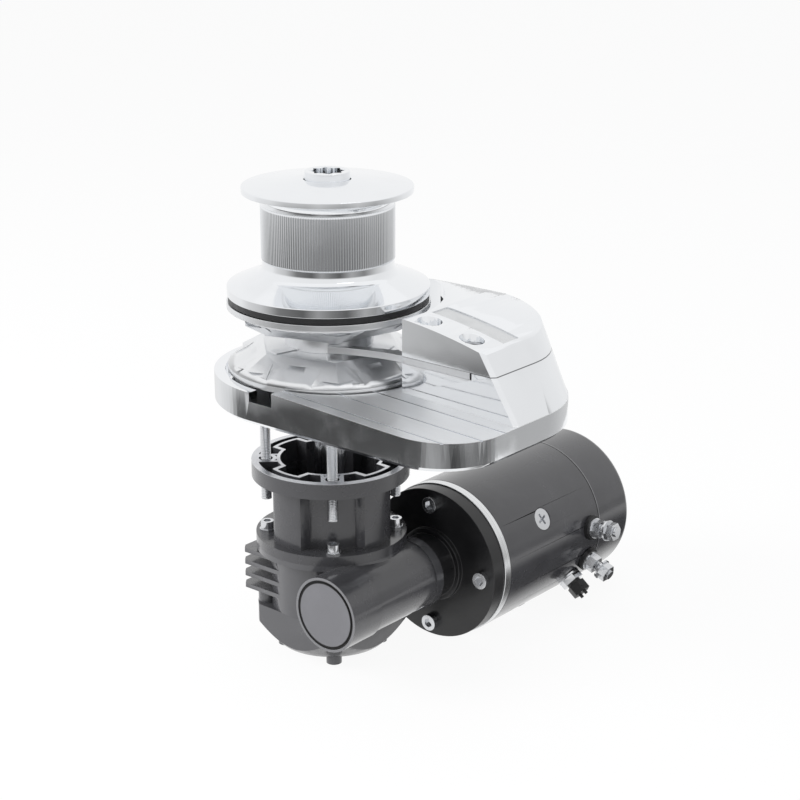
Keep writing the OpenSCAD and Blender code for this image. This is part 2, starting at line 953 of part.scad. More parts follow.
// The boss round one stud and the two ribs that tie it to the tube and the rim.
module stud_boss_plan() {
    stud_places() {
        circle(stud_boss_w / 2);
        for (side = [-1, 1])
            translate([recess_r - stud_circle_r - 1, side * (stud_boss_w - tube_wall) / 2 - tube_wall / 2])
                square([spacer_r - recess_r, tube_wall]);
    }
}

module deck_spacer() {
    color([0.2, 0.2, 0.21])
        difference() {
            union() {
                raise(foot_bottom_z)
                    linear_extrude(spacer_top_z - foot_bottom_z)
                        difference() {
                            lobe_plan(tube_r, recess_r, recess_half, recess_flare);
                            lobe_plan(tube_r - tube_wall, recess_r - tube_wall,
                                recess_half + wall_angle, recess_flare);
                        }
                raise(tube_top_z)
                    linear_extrude(spacer_flange_t) {
                        difference() {
                            circle(spacer_r);
                            circle(spacer_r - flange_wall);
                        }
                        intersection() {
                            stud_boss_plan();
                            difference() {
                                circle(spacer_r - 1);
                                circle(recess_r - 1.5);
                            }
                        }
                    }
                raise(tube_top_z)
                    linear_extrude(4)
                        difference() {
                            circle(spacer_r);
                            lobe_plan(tube_r - 1, recess_r - 1, recess_half + 1, recess_flare);
                        }
                raise(foot_bottom_z)
                    cylinder(h = foot_t, r = foot_r);
            }
            drill(foot_bottom_z - cut, shaft_r + 1);
            raise(foot_bottom_z - cut)
                cylinder(h = seal_h + cut, r = seal_r);
            stud_places() {
                drill(tube_top_z - cut, stud_hole_d / 2);
                raise(foot_bottom_z - cut)
                    cylinder(h = foot_t + 2 * cut, d = 1.1 * spacer_screw_d);
            }
        }
}

module spacer_screws() {
    color("silver")
        stud_places()
            raise(foot_top_z) {
                ring(spacer_screw_d, spacer_screw_d / 2 + 0.2, 1.4);
                raise(1.4)
                    socket_screw(spacer_screw_d, foot_t + box_flange_t, 10, spacer_screw_d);
            }
}

module shaft_seal() {
    color("dimgray")
        raise(foot_bottom_z + fit)
            ring(seal_r - fit, shaft_r + run_fit, seal_h - 2 * fit);
}

// Gearbox

module along_worm(y = 0) {
    translate([centre_x, y, worm_z])
        rotate([-90, 0, 0])
            children();
}

// The outside of the worm tube; a gap makes the room that the bottom cover leaves for it.
module sleeve_outside(gap = 0) {
    along_worm(sleeve_front_y)
        cylinder(h = boss_rear_y - sleeve_front_y + gap, r = boss_r + gap);
    along_worm(boss_rear_y - eps)
        cylinder(h = sleeve_rear_y - boss_rear_y + eps + 100 * gap, r = sleeve_r + gap);
    along_worm(sleeve_rear_y - collar_l - gap)
        cylinder(h = collar_l + gap, r = boss_r + gap);
}

module gearbox_housing() {
    color([0.24, 0.24, 0.25])
        difference() {
            union() {
                raise(fin_low_z)
                    cylinder(h = foot_bottom_z - fin_low_z, r = box_r);
                raise(box_flange_bottom_z)
                    cylinder(h = box_flange_t, r = foot_r);
                sleeve_outside();
                for (i = [0 : fin_count - 1])
                    raise(fin_low_z + i * fin_pitch)
                        linear_extrude(fin_t)
                            fin_plan();
                raise(box_bottom_z)
                    linear_extrude(fin_low_z - box_bottom_z + eps) {
                        circle(box_r);
                        cover_screw_places()
                            circle(cover_boss_r);
                    }
            }
            raise(box_bottom_z - cut)
                cylinder(h = box_roof_z - box_bottom_z + cut, r = chamber_r);
            drill(box_roof_z - cut, bearing_r - 3);
            drill(foot_bottom_z - bearing_w, bearing_r + fit);
            cover_screw_places()
                raise(cover_seat_z)
                    cylinder(h = box_bottom_z - cover_seat_z + cover_screw_grip + 0.5,
                        d = cover_screw_d + 2 * fit);
            along_worm(sleeve_front_y - cut)
                cylinder(h = front_bearing_y - sleeve_front_y + cut, r = end_cap_r + seal_w + fit);
            along_worm(front_bearing_y - cut)
                cylinder(h = worm_bearing_w + cut, r = worm_bearing_r + fit);
            along_worm(chamber_front_y - eps)
                cylinder(h = sleeve_bearing_y - chamber_front_y + 2 * eps, r = worm_chamber_r);
            along_worm(sleeve_bearing_y)
                cylinder(h = far, r = worm_bearing_r + fit);
            stud_places()
                drill(box_flange_bottom_z - cut, spacer_screw_d / 2 + fit);
        }
}

module fin_plan() {
    intersection() {
        translate([-fin_x, -fin_half_w])
            square([fin_x, 2 * fin_half_w]);
        circle(fin_trim_r);
    }
}

module upper_bearing() {
    color("lightsteelblue")
        raise(foot_bottom_z - bearing_w)
            ring(bearing_r, shaft_r + run_fit, bearing_w - fit);
}

module lower_bearing() {
    color("lightsteelblue")
        raise(cover_bottom_z + cover_floor_t)
            ring(bearing_r, shaft_r + run_fit, bearing_w);
}

module cover_plan() {
    intersection() {
        circle(cover_r);
        rotate(stud_angle + 45)
            square(2 * cover_flat, center = true);
    }
}

module cover_screw_places() {
    for (i = [0 : 3])
        rotate(stud_angle + 90 * i)
            translate([cover_screw_circle_r, 0, 0])
                children();
}

module bottom_cover() {
    color([0.24, 0.24, 0.25])
        difference() {
            union() {
                raise(box_bottom_z - cover_t)
                    linear_extrude(cover_t)
                        cover_plan();
                intersection() {
                    raise(cover_bottom_z)
                        cylinder(h = dish_h + eps, r1 = dish_r, r2 = cover_r);
                    raise(cover_bottom_z)
                        linear_extrude(dish_h + eps)
                            cover_plan();
                }
                for (i = [0 : 3])
                    rotate(stud_angle + 90 * i)
                        translate([lug_circle_r, 0, cover_bottom_z - lug_h])
                            cylinder(h = lug_h + 2, r = lug_r);
            }
            sleeve_outside(sleeve_gap);
            drill(box_bottom_z - cover_t + 1, chamber_r - 3);
            drill(cover_bottom_z + cover_floor_t, bearing_r + fit);
            cover_screw_places() {
                drill(cover_bottom_z - cut, (cover_screw_d + 1) / 2);
                raise(cover_bottom_z - cut)
                    cylinder(h = cover_seat_z - cover_bottom_z + cut, r = cover_boss_r - 1);
            }
        }
}

module cover_screws() {
    color("silver")
        cover_screw_places()
            raise(cover_seat_z)
                rotate([180, 0, 0])
                    socket_screw(cover_screw_d, box_bottom_z - cover_seat_z + cover_screw_grip,
                        cover_head_d, cover_head_h);
}

module worm_end_cap() {
    color([0.42, 0.42, 0.44])
        along_worm(sleeve_front_y)
            cylinder(h = end_cap_t, r = end_cap_r);
}

module end_cap_seal() {
    color("black")
        along_worm(sleeve_front_y + 0.6)
            ring(end_cap_r + seal_w, end_cap_r + fit, end_cap_t - 0.6);
}

module worm_front_bearing() {
    color("lightsteelblue")
        along_worm(front_bearing_y)
            ring(worm_bearing_r, worm_shaft_r + run_fit, worm_bearing_w);
}

module worm_rear_bearing() {
    color("lightsteelblue")
        along_worm(sleeve_bearing_y)
            ring(worm_bearing_r, worm_shaft_r + run_fit, worm_bearing_w);
}

// Motor

// Points outward from the motor axis at an angle measured from X towards Z.
module outward(angle, y) {
    along_worm(y)
        rotate([0, 0, -angle])
            rotate([0, 90, 0])
                children();
}

module flange_screw_places(y) {
    for (i = [0 : 3])
        along_worm(y)
            rotate(90 * i)
                translate([flange_screw_circle_r, 0, 0])
                    children();
}

module through_bolt_places(y) {
    for (i = [0 : 1])
        along_worm(y)
            rotate(180 * i - bolt_angle)
                translate([flange_screw_circle_r, 0, 0])
                    children();
}

module motor_flange() {
    boss_h = 4;
    color([0.12, 0.12, 0.13])
        difference() {
            union() {
                along_worm(flange_y)
                    cylinder(h = motor_flange_t, r = flange_r);
                along_worm(sleeve_rear_y)
                    cylinder(h = flange_y - sleeve_rear_y + eps, r = neck_r);
                along_worm(flange_y - boss_h)
                    cylinder(h = boss_h + eps, r = flange_boss_r);
            }
            along_worm(sleeve_rear_y - cut)
                cylinder(h = far, r = neck_bore_r);
            along_worm(front_motor_bearing_y)
                cylinder(h = far, r = motor_bearing_r + fit);
            flange_screw_places(flange_y - cut)
                cylinder(h = motor_flange_t + 2 * cut, d = motor_screw_d + 1);
        }
}

module flange_screws() {
    color("silver")
        flange_screw_places(flange_y)
            rotate([180, 0, 0])
                socket_screw(motor_screw_d, motor_flange_t + ring_w - 0.3, motor_head_d, motor_head_h);
}

module front_ring() {
    color("silver")
        difference() {
            along_worm(ring_y)
                ring(yoke_r, front_ring_in_r, ring_w);
            flange_screw_places(ring_y - cut)
                cylinder(h = ring_w + 2 * cut, d = motor_screw_d + 2 * fit);
            through_bolt_places(ring_y - cut)
                cylinder(h = ring_w + 2 * cut, d = bolt_d + 2 * fit);
        }
}

module motor_front_bearing() {
    color("lightsteelblue")
        along_worm(front_motor_bearing_y + fit)
            ring(motor_bearing_r, worm_shaft_r + run_fit, motor_bearing_w - 2 * fit);
}

module pole_screw_places() {
    for (i = [0 : 3])
        outward(pole_angle + 90 * i, pole_y)
            children();
}

// Countersunk pole screw, its axis pointing outward from the motor axis.
module pole_screw_body(grow = 0) {
    raise(yoke_in_r - pole_screw_l)
        cylinder(h = pole_screw_l + 1, d = pole_screw_d + 2 * grow);
    raise(yoke_in_r + 0.5)
        cylinder(h = yoke_t - 0.5 - pole_head_sink, d1 = pole_screw_d + 2 * grow,
            d2 = pole_head_d + 2 * grow);
}

module motor_yoke() {
    color([0.32, 0.32, 0.33])
        difference() {
            along_worm(yoke_y)
                ring(yoke_r, yoke_in_r, yoke_l);
            pole_screw_places() {
                pole_screw_body(fit);
                raise(yoke_r - pole_head_sink - eps)
                    cylinder(h = cut, d = pole_head_d + 2 * fit);
            }
            for (angle = [terminal_a, terminal_b])
                outward(angle, terminal_y)
                    raise(yoke_in_r - 2 * cut)
                        cylinder(h = yoke_t + 4 * cut, r = bush_r + fit);
            outward(switch_angle, switch_y)
                raise(yoke_in_r - 2 * cut)
                    cylinder(h = yoke_t + 4 * cut, r = bush_r + fit);
        }
}

module pole_screws() {
    color("silver")
        pole_screw_places()
            difference() {
                pole_screw_body();
                for (a = [0, 90])
                    rotate([0, 0, a + 20])
                        translate([-pole_head_d * 0.27, -0.9, yoke_r - pole_head_sink - 3])
                            cube([pole_head_d * 0.54, 1.8, 4]);
            }
}

module pole_plan() {
    difference() {
        union() {
            intersection() {
                circle(yoke_in_r - fit);
                translate([0, -pole_core_w / 2])
                    square([yoke_in_r, pole_core_w]);
            }
            intersection() {
                circle(pole_r + pole_shoe_t);
                polygon([[0, 0], [far, -far * tan(pole_shoe_half)], [far, far * tan(pole_shoe_half)]]);
            }
        }
        circle(pole_r);
    }
}

module pole_shoes() {
    color("dimgray")
        difference() {
            along_worm(armature_y)
                linear_extrude(armature_l)
                    for (i = [0 : 3])
                        rotate(-pole_angle - 90 * i)
                            pole_plan();
            pole_screw_places()
                drill(yoke_in_r - pole_screw_l - 1, pole_screw_d / 2 + fit);
        }
}

module field_coils() {
    gap = 0.3;
    color("sienna")
        intersection() {
            along_worm(yoke_y)
                cylinder(h = yoke_l, r = yoke_in_r - gap);
            pole_screw_places()
                raise(pole_r + pole_shoe_t + gap)
                    linear_extrude(coil_h)
                        difference() {
                            square([armature_l + 2 * coil_over, coil_w], center = true);
                            square([armature_l + 2 * gap, pole_core_w + 2 * gap], center = true);
                        }
        }
}

module rear_cap() {
    boss_l = 12;
    color([0.32, 0.32, 0.33])
        difference() {
            union() {
                difference() {
                    along_worm(seam_y)
                        rotate_extrude() {
                            square([yoke_r - rear_edge_r, rear_l]);
                            square([yoke_r, rear_l - rear_edge_r]);
                            translate([yoke_r - rear_edge_r, rear_l - rear_edge_r])
                                circle(rear_edge_r);
                        }
                    along_worm(seam_y - cut)
                        cylinder(h = rear_l - rear_wall + cut, r = yoke_in_r);
                }
                along_worm(rear_bearing_y - 2)
                    cylinder(h = rear_y - rear_wall - rear_bearing_y + 3, r = motor_bearing_r + 5);
                through_bolt_places(rear_y - rear_wall - boss_l)
                    cylinder(h = boss_l + cut, r = bolt_d + 2);
            }
            along_worm(rear_bearing_y - 3)
                cylinder(h = motor_bearing_w + 3.5, r = motor_bearing_r + fit);
            through_bolt_places(seam_y) {
                cylinder(h = far, d = bolt_d + 1);
                drill(rear_l - bolt_d - 1, (bolt_d + 5) / 2);
            }
        }
}

module through_bolts() {
    head_y = rear_y - bolt_d - 1;
    color("silver")
        through_bolt_places(head_y)
            socket_screw(bolt_d, head_y - ring_y - 0.5, bolt_d + 4, bolt_d);
}

module rear_bearing() {
    color("lightsteelblue")
        along_worm(rear_bearing_y)
            ring(motor_bearing_r, worm_shaft_r + run_fit, motor_bearing_w);
}

module brush_places() {
    for (i = [0 : 3])
        outward(pole_angle + 90 * i, brush_y)
            children();
}

module brush_box(wall, bottom, top) {
    translate([-brush_l / 2 - wall, -brush_w / 2 - wall, bottom])
        cube([brush_l + 2 * wall, brush_w + 2 * wall, top - bottom]);
}

module brush_plate() {
    box_bottom = commutator_r + box_gap;
    box_top = commutator_r + brush_h + box_gap;
    color("peru")
        difference() {
            union() {
                along_worm(brush_plate_y)
                    ring(yoke_in_r - fit, commutator_r + 4, brush_plate_t);
                brush_places() {
                    brush_box(holder_t, box_bottom, box_top);
                    translate([brush_y - brush_plate_y - eps, -brush_w / 2 - holder_t, box_bottom + 2])
                        cube([brush_plate_y - brush_y, brush_w + 2 * holder_t, brush_h - 2]);
                }
            }
            brush_places()
                brush_box(0.1, 0, far);
            through_bolt_places(brush_plate_y - cut)
                cylinder(h = brush_plate_t + 2 * cut, d = bolt_d + 2);
        }
}

module brushes() {
    color([0.2, 0.2, 0.2])
        brush_places()
            brush_box(0, commutator_r + brush_gap, commutator_r + brush_gap + brush_h);
}

module brush_springs() {
    top = commutator_r + brush_h + box_gap;
    color("silver")
        brush_places() {
            raise(commutator_r + brush_h + 0.35)
                cylinder(h = 3, r = 2.6);
            brush_box(holder_t - 0.5, top, top + 1.2);
        }
}

// Terminals

module nut_and_washer(bottom) {
    raise(bottom)
        ring(terminal_washer_r, terminal_d / 2 + fit, terminal_washer_t);
    raise(bottom + terminal_washer_t)
        hex_nut(terminal_nut_w, terminal_nut_h, terminal_d + 2 * fit);
}

module terminal_insulators() {
    color([0.08, 0.08, 0.08])
        for (angle = [terminal_a, terminal_b])
            outward(angle, terminal_y)
                raise(yoke_in_r - bush_in)
                    difference() {
                        union() {
                            cylinder(h = yoke_t + bush_in + eps, r = bush_r);
                            raise(yoke_t + bush_in)
                                cylinder(h = disc_t, r = disc_r);
                        }
                        drill(-cut, terminal_d / 2 + fit);
                    }
}

module terminal_studs() {
    color("silver")
        for (angle = [terminal_a, terminal_b])
            outward(angle, terminal_y)
                difference() {
                    raise(yoke_in_r - stud_in)
                        cylinder(h = terminal_tip_r - yoke_in_r + stud_in, d = terminal_d);
                    raise(terminal_tip_r - 1)
                        cylinder(h = 2, r = terminal_d / 4);
                }
}

module terminal_nuts() {
    bottom = yoke_r + disc_t;
    color("silver")
        for (angle = [terminal_a, terminal_b])
            outward(angle, terminal_y) {
                nut_and_washer(bottom);
                nut_and_washer(terminal_tip_r - lug_space);
            }
}

module thermal_switch() {
    color([0.08, 0.08, 0.08])
        outward(switch_angle, switch_y) {
            raise(yoke_in_r - 0.5)
                cylinder(h = 14, r = bush_r);
            raise(switch_cap_r)
                cylinder(h = switch_cap_h, r = 8, $fn = 6);
            for (side = [-1, 1])
                translate([0, side * 3, switch_cap_r + switch_cap_h - 1])
                    cylinder(h = 4, r = 1.4);
        }
}

module switch_nut() {
    color("silver")
        outward(switch_angle, switch_y) {
            raise(yoke_r)
                ring(disc_r, bush_r + fit, 1.5);
            raise(yoke_r + 1.5)
                hex_nut(17, 5, 2 * bush_r + 2 * fit);
        }
}

// Main shaft and its keyed parts

module keyway(z0, z1, gap) {
    translate([0, -key_w / 2 - gap, z0])
        cube([shaft_r + key_lift + gap, key_w + 2 * gap, z1 - z0]);
}

module shaft_key(ends, grow = 0) {
    translate([shaft_r - key_lift - grow, -key_w / 2 - grow, ends[0] - grow])
        cube([key_h + 2 * grow, key_w + 2 * grow, ends[1] - ends[0] + 2 * grow]);
}

module main_shaft() {
    color("silver")
        difference() {
            union() {
                raise(shaft_end_z)
                    cylinder(h = nut_seat_z - shaft_end_z, r = shaft_r);
                raise(nut_seat_z - eps)
                    cylinder(h = thread_top_z - nut_seat_z + eps, r = thread_r);
            }
            for (ends = [lower_key_z, wheel_key_z, drum_key_z])
                shaft_key(ends, fit);
            for (z = circlip_z)
                raise(z - fit)
                    ring(shaft_r + cut, shaft_r - 1 - fit, circlip_t + 2 * fit);
        }
}

module shaft_keys() {
    color("dimgray")
        for (ends = [lower_key_z, wheel_key_z, drum_key_z])
            shaft_key(ends);
}

module shaft_circlips() {
    color("darkgray")
        for (z = circlip_z)
            raise(z)
                difference() {
                    ring(shaft_r - 1 + circlip_w, shaft_r - 1, circlip_t);
                    translate([-far, -3, -cut])
                        cube([far, 6, circlip_t + 2 * cut]);
                }
}

module lower_cone() {
    big = cone_big_r - cone_shift;
    small = cone_small_r - cone_shift + clutch_gap * cone_taper;
    color("gray")
        difference() {
            union() {
                raise(cone_base_z)
                    cylinder(h = gypsy_bottom_z - cone_base_z, r = big);
                raise(gypsy_bottom_z)
                    cylinder(h = cone_h - clutch_gap, r1 = big, r2 = small);
            }
            drill(cone_base_z - cut, shaft_r + fit);
            keyway(cone_base_z - cut, gypsy_mid_z, fit);
        }
}

module wheel_hub() {
    color("gray")
        difference() {
            union() {
                raise(wheel_hub_z)
                    cylinder(h = wheel_hub_h, r = wheel_hub_r);
                raise(worm_z - hub_disc_h / 2)
                    cylinder(h = hub_disc_h, r = hub_disc_r);
            }
            raise(wheel_hub_z - cut)
                cylinder(h = wheel_hub_h + 2 * cut, r = shaft_r + fit);
            keyway(wheel_hub_z - cut, wheel_hub_z + wheel_hub_h + cut, fit);
        }
}

// One tooth space is left on the worm side, so the teeth start at X.
module tooth() {
    half_pitch = module_mm * PI / 4 - backlash / 4;
    rise = tan(pressure);
    root = half_pitch + 1.25 * module_mm * rise;
    tip = half_pitch - module_mm * rise;
    rotate([-lead_angle, 0, 0])
        raise(-wheel_w)
            linear_extrude(2 * wheel_w)
                polygon([[wheel_root_r - 1, -root], [wheel_root_r, -root], [wheel_tip_r + 1, -tip],
                    [wheel_tip_r + 1, tip], [wheel_root_r, root], [wheel_root_r - 1, root]]);
}

module worm_wheel() {
    color("darkgoldenrod")
        raise(worm_z)
            difference() {
                intersection() {
                    raise(-wheel_w / 2)
                        cylinder(h = wheel_w, r = wheel_tip_r);
                    union() {
                        cylinder(h = 2 * wheel_w, r = wheel_root_r, center = true);
                        for (i = [0 : teeth - 1])
                            rotate(360 / teeth * i)
                                tooth();
                    }
                }
                cylinder(h = far, r = hub_disc_r + fit, center = true);
            }
}

// Gypsy

module ridge() {
    foot = gypsy_bottom_z + ridge_foot_z;
    top = gypsy_bottom_z + slot_z;
    intersection() {
        raise(gypsy_bottom_z)
            linear_extrude(slot_z)
                polygon([[gypsy_hub_r - 3, -ridge_in], [ridge_top_r, -ridge_in], [ridge_r, -ridge_out],
                    [ridge_r, ridge_out], [ridge_top_r, ridge_in], [gypsy_hub_r - 3, ridge_in]]);
        translate([0, far / 2, 0])
            rotate([90, 0, 0])
                linear_extrude(far)
                    polygon([[0, gypsy_bottom_z], [ridge_r, gypsy_bottom_z], [ridge_r, foot],
                        [ridge_top_r, top], [0, top]]);
    }
}

module gypsy_half_body() {
    color("silver") {
        raise(gypsy_bottom_z)
            cylinder(h = flange_t, r = gypsy_r);
        raise(gypsy_bottom_z + flange_t - eps)
            cylinder(h = cone_rise, r1 = gypsy_r, r2 = cone_r);
        rotate(ridge_angle)
            raise(gypsy_bottom_z + pocket_foot_z)
                cylinder(h = slot_z - pocket_drop - pocket_foot_z, r1 = pocket_foot / cos(30),
                    r2 = pocket_flat / cos(30), $fn = pockets);
        for (i = [0 : pockets - 1])
            rotate(ridge_angle + 360 / pockets * i)
                ridge();
    }
}

module gypsy() {
    color("silver")
        difference() {
            union() {
                gypsy_half_body();
                raise(2 * gypsy_mid_z)
                    mirror([0, 0, 1])
                        gypsy_half_body();
                raise(gypsy_mid_z - slot_half - cut)
                    cylinder(h = 2 * (slot_half + cut), r = gypsy_hub_r);
            }
            raise(gypsy_bottom_z - cut)
                cylinder(h = cut + eps, r = cone_big_r);
            raise(gypsy_bottom_z)
                cylinder(h = cone_h, r1 = cone_big_r, r2 = cone_small_r);
            raise(gypsy_top_z - cone_h)
                cylinder(h = cone_h, r1 = cone_small_r, r2 = cone_big_r);
            raise(gypsy_top_z - eps)
                cylinder(h = cut, r = cone_big_r);
            cylinder(h = far, r = gypsy_bush_r);
        }
}

module gypsy_bush() {
    color("goldenrod")
        raise(gypsy_bottom_z + cone_h)
            ring(gypsy_bush_r - fit, shaft_r + run_fit, 2 * (gypsy_half - cone_h));
}

// Drum and clutch

// Fills the corner between two straight edges with a round of radius r.
module fillet(corner, angle_a, angle_b, r) {
    half = (angle_b - angle_a) / 2;
    middle = corner + r / sin(half) * [cos(angle_a + half), sin(angle_a + half)];
    difference() {
        polygon([corner, corner + r / tan(half) * [cos(angle_a), sin(angle_a)], middle,
            corner + r / tan(half) * [cos(angle_b), sin(angle_b)]]);
        translate(middle)
            circle(r);
    }
}

module drum_profile() {
    foot_z = drum_low_z + drum_cone_rise;
    fall = atan2(drum_cone_rise, drum_low_r - barrel_r);
    under_rim_z = drum_top_z - drum_rim_t;
    polygon([[0, drum_base_z], [drum_low_r, drum_base_z], [drum_low_r, drum_low_z],
        [barrel_r, foot_z], [barrel_r, under_rim_z], [drum_top_r, under_rim_z],
        [drum_top_r, drum_top_z], [nut_well_r + 4, drum_top_z + drum_dome], [0, drum_top_z + drum_dome]]);
    fillet([barrel_r, under_rim_z], -90, 0, drum_fillet);
    fillet([barrel_r, foot_z], -fall, 90, drum_fillet);
}

module drum_hollow() {
    foot_z = drum_low_z + drum_cone_rise - drum_wall;
    polygon([[drum_hub_r, drum_base_z - cut], [drum_low_r - drum_wall, drum_base_z - cut],
        [drum_low_r - drum_wall, drum_low_z - drum_wall], [barrel_r - drum_wall, foot_z],
        [barrel_r - drum_wall, drum_top_z - drum_rim_t - drum_wall],
        [drum_hub_r, drum_top_z - drum_rim_t - drum_wall]]);
}

module drum() {
    color("silver")
        difference() {
            rotate_extrude()
                difference() {
                    drum_profile();
                    drum_hollow();
                    square([shaft_r + run_fit, far]);
                    translate([0, nut_seat_z])
                        square([nut_well_r, far]);
                }
            keyway(drum_base_z - cut, nut_seat_z + cut, key_gap);
        }
}

module clutch_ring() {
    big = cone_big_r - cone_shift;
    small = cone_small_r - cone_shift + clutch_gap * cone_taper;
    color([0.06, 0.06, 0.07])
        difference() {
            union() {
                raise(gypsy_top_z + clutch_gap)
                    cylinder(h = drum_base_z - gypsy_top_z - clutch_gap, r = ring_r);
                raise(gypsy_top_z - eps)
                    cylinder(h = clutch_gap + 2 * eps, r = big);
                raise(gypsy_top_z - cone_h + clutch_gap)
                    cylinder(h = cone_h - clutch_gap, r1 = small, r2 = big);
            }
            cylinder(h = far, r = shaft_r + 1);
        }
}

module nut_washer() {
    color("goldenrod")
        raise(nut_seat_z)
            ring(nut_r, thread_r + 0.6, washer_t);
}

module clutch_nut() {
    bottom = nut_seat_z + washer_t + 0.1;
    color("silver")
        difference() {
            raise(bottom)
                cylinder(h = nut_top_z - bottom, r = nut_r);
            raise(bottom - cut)
                cylinder(h = thread_top_z - bottom + 2 * cut, r = thread_r + 0.1);
            for (a = [0, 45])
                rotate(a)
                    raise(nut_top_z - socket_depth)
                        cylinder(h = far, r = socket_r, $fn = 4);
        }
}

// Worm and armature

// Cross-section of a single-start worm: the crest at one side and the root at the other.
module worm_plan() {
    rise = tan(pressure);
    half_gap = axial_pitch / 4 + backlash / 4;
    crest = (axial_pitch / 2 - half_gap - module_mm * rise) * 360 / axial_pitch;
    foot = (axial_pitch / 2 - half_gap + 1.25 * module_mm * rise) * 360 / axial_pitch;
    step = 15;
    polygon([for (a = [-180 : step : 180 - step])
        let (share = min(1, max(0, (abs(a) - crest) / (foot - crest))),
            r = worm_tip_r + (worm_root_r - worm_tip_r) * share)
            r * [cos(a), sin(a)]]);
}

module worm_shaft() {
    turns = thread_l / axial_pitch;
    color("lightgray") {
        along_worm(front_bearing_y + fit)
            cylinder(h = shaft_joint_y - front_bearing_y - 2 * fit, r = worm_shaft_r);
        along_worm(chamber_front_y)
            cylinder(h = 4, r = worm_shaft_r + 3.5);
        along_worm(sleeve_bearing_y - 4)
            cylinder(h = 4, r = worm_shaft_r + 3.5);
        along_worm(-thread_l / 2)
            rotate(-180 * turns)
                linear_extrude(thread_l, twist = -360 * turns, slices = ceil(18 * turns), $fn = 12)
                    worm_plan();
    }
}

module shaft_coupling() {
    color("dimgray")
        along_worm(coupling_y)
            ring(coupling_r, worm_shaft_r + fit, coupling_l);
}

module motor_shaft() {
    color("silver")
        along_worm(shaft_joint_y + fit)
            cylinder(h = rear_bearing_y + motor_bearing_w - shaft_joint_y - fit, r = worm_shaft_r);
}

module slot_plan(w, r0, r1) {
    slots = 16;
    for (i = [0 : slots - 1])
        rotate(360 / slots * i)
            translate([r0, -w / 2])
                square([r1 - r0, w]);
}

module armature_core() {
    color("dimgray")
        along_worm(armature_y)
            linear_extrude(armature_l)
                difference() {
                    circle(armature_r);
                    circle(worm_shaft_r + fit);
                    slot_plan(3.4, armature_r - 9, armature_r + cut);
                }
}

module armature_windings() {
    top = armature_r - 1;
    color("sienna") {
        along_worm(armature_y - winding_l)
            linear_extrude(armature_l + 2 * winding_l)
                slot_plan(3, armature_r - 8.7, top);
        for (y = [armature_y - winding_l, armature_end_y + 0.2])
            along_worm(y)
                ring(top, worm_shaft_r + 4, winding_l - 0.2);
    }
}

module commutator() {
    bars = 24;
    color("chocolate")
        along_worm(commutator_y)
            difference() {
                ring(commutator_r, worm_shaft_r + fit, commutator_l);
                for (i = [0 : bars - 1])
                    rotate(360 / bars * i)
                        translate([commutator_r - 1.5, -0.3, -cut])
                            cube([3, 0.6, commutator_l + 2 * cut]);
            }
}

base_plate();
housing_cap();
cap_screws();
name_plate();
chain_stripper();
upper_bush();
upper_seal();
deck_studs();
deck_spacer();
spacer_screws();
shaft_seal();
gearbox_housing();
upper_bearing();
lower_bearing();
bottom_cover();
cover_screws();
worm_end_cap();
end_cap_seal();
worm_front_bearing();
worm_rear_bearing();
motor_flange();
flange_screws();
front_ring();
motor_front_bearing();
motor_yoke();
pole_shoes();
field_coils();
pole_screws();
rear_cap();
through_bolts();
rear_bearing();
brush_plate();
brushes();
brush_springs();
terminal_insulators();
terminal_studs();
terminal_nuts();
thermal_switch();
switch_nut();
main_shaft();
shaft_keys();
lower_cone();
worm_wheel();
wheel_hub();
shaft_circlips();
gypsy();
gypsy_bush();
drum();
clutch_ring();
nut_washer();
clutch_nut();
worm_shaft();
shaft_coupling();
motor_shaft();
armature_core();
armature_windings();
commutator();
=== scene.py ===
"""Looks of a vertical anchor windlass: chrome deck unit, chain gypsy, black gearbox and motor.

Lengths in the tables are millimetres in the frame of the part: the main shaft is Z, the motor
runs along Y and the underside of the base plate is Z = 0. Meshes are built in metres.
"""

import math

import bmesh
import bpy
import numpy as np
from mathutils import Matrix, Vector


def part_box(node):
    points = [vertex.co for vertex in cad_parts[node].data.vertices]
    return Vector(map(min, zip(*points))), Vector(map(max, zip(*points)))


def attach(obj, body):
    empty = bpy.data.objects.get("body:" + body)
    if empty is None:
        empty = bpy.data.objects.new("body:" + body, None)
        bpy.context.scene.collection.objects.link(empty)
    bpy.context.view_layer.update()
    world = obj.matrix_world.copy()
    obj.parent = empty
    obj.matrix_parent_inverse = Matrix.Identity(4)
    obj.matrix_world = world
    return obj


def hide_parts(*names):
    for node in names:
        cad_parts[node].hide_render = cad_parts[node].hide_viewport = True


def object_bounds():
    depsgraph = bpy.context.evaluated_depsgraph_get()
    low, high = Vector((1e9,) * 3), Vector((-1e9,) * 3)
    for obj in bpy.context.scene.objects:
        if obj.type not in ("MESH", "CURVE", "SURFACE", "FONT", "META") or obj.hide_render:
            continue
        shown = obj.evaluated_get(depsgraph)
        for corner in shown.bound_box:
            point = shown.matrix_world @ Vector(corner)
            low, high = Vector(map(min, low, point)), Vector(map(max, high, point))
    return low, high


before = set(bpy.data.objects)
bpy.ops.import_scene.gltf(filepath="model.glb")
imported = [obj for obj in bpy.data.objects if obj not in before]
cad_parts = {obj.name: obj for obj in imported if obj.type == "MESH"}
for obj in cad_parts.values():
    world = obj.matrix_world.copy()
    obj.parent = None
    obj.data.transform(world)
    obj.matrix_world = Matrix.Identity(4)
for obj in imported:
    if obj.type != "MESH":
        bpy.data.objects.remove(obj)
cad_box = [list(corner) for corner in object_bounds()]
scene = bpy.context.scene
MM = 0.001
TURN = 2 * math.pi

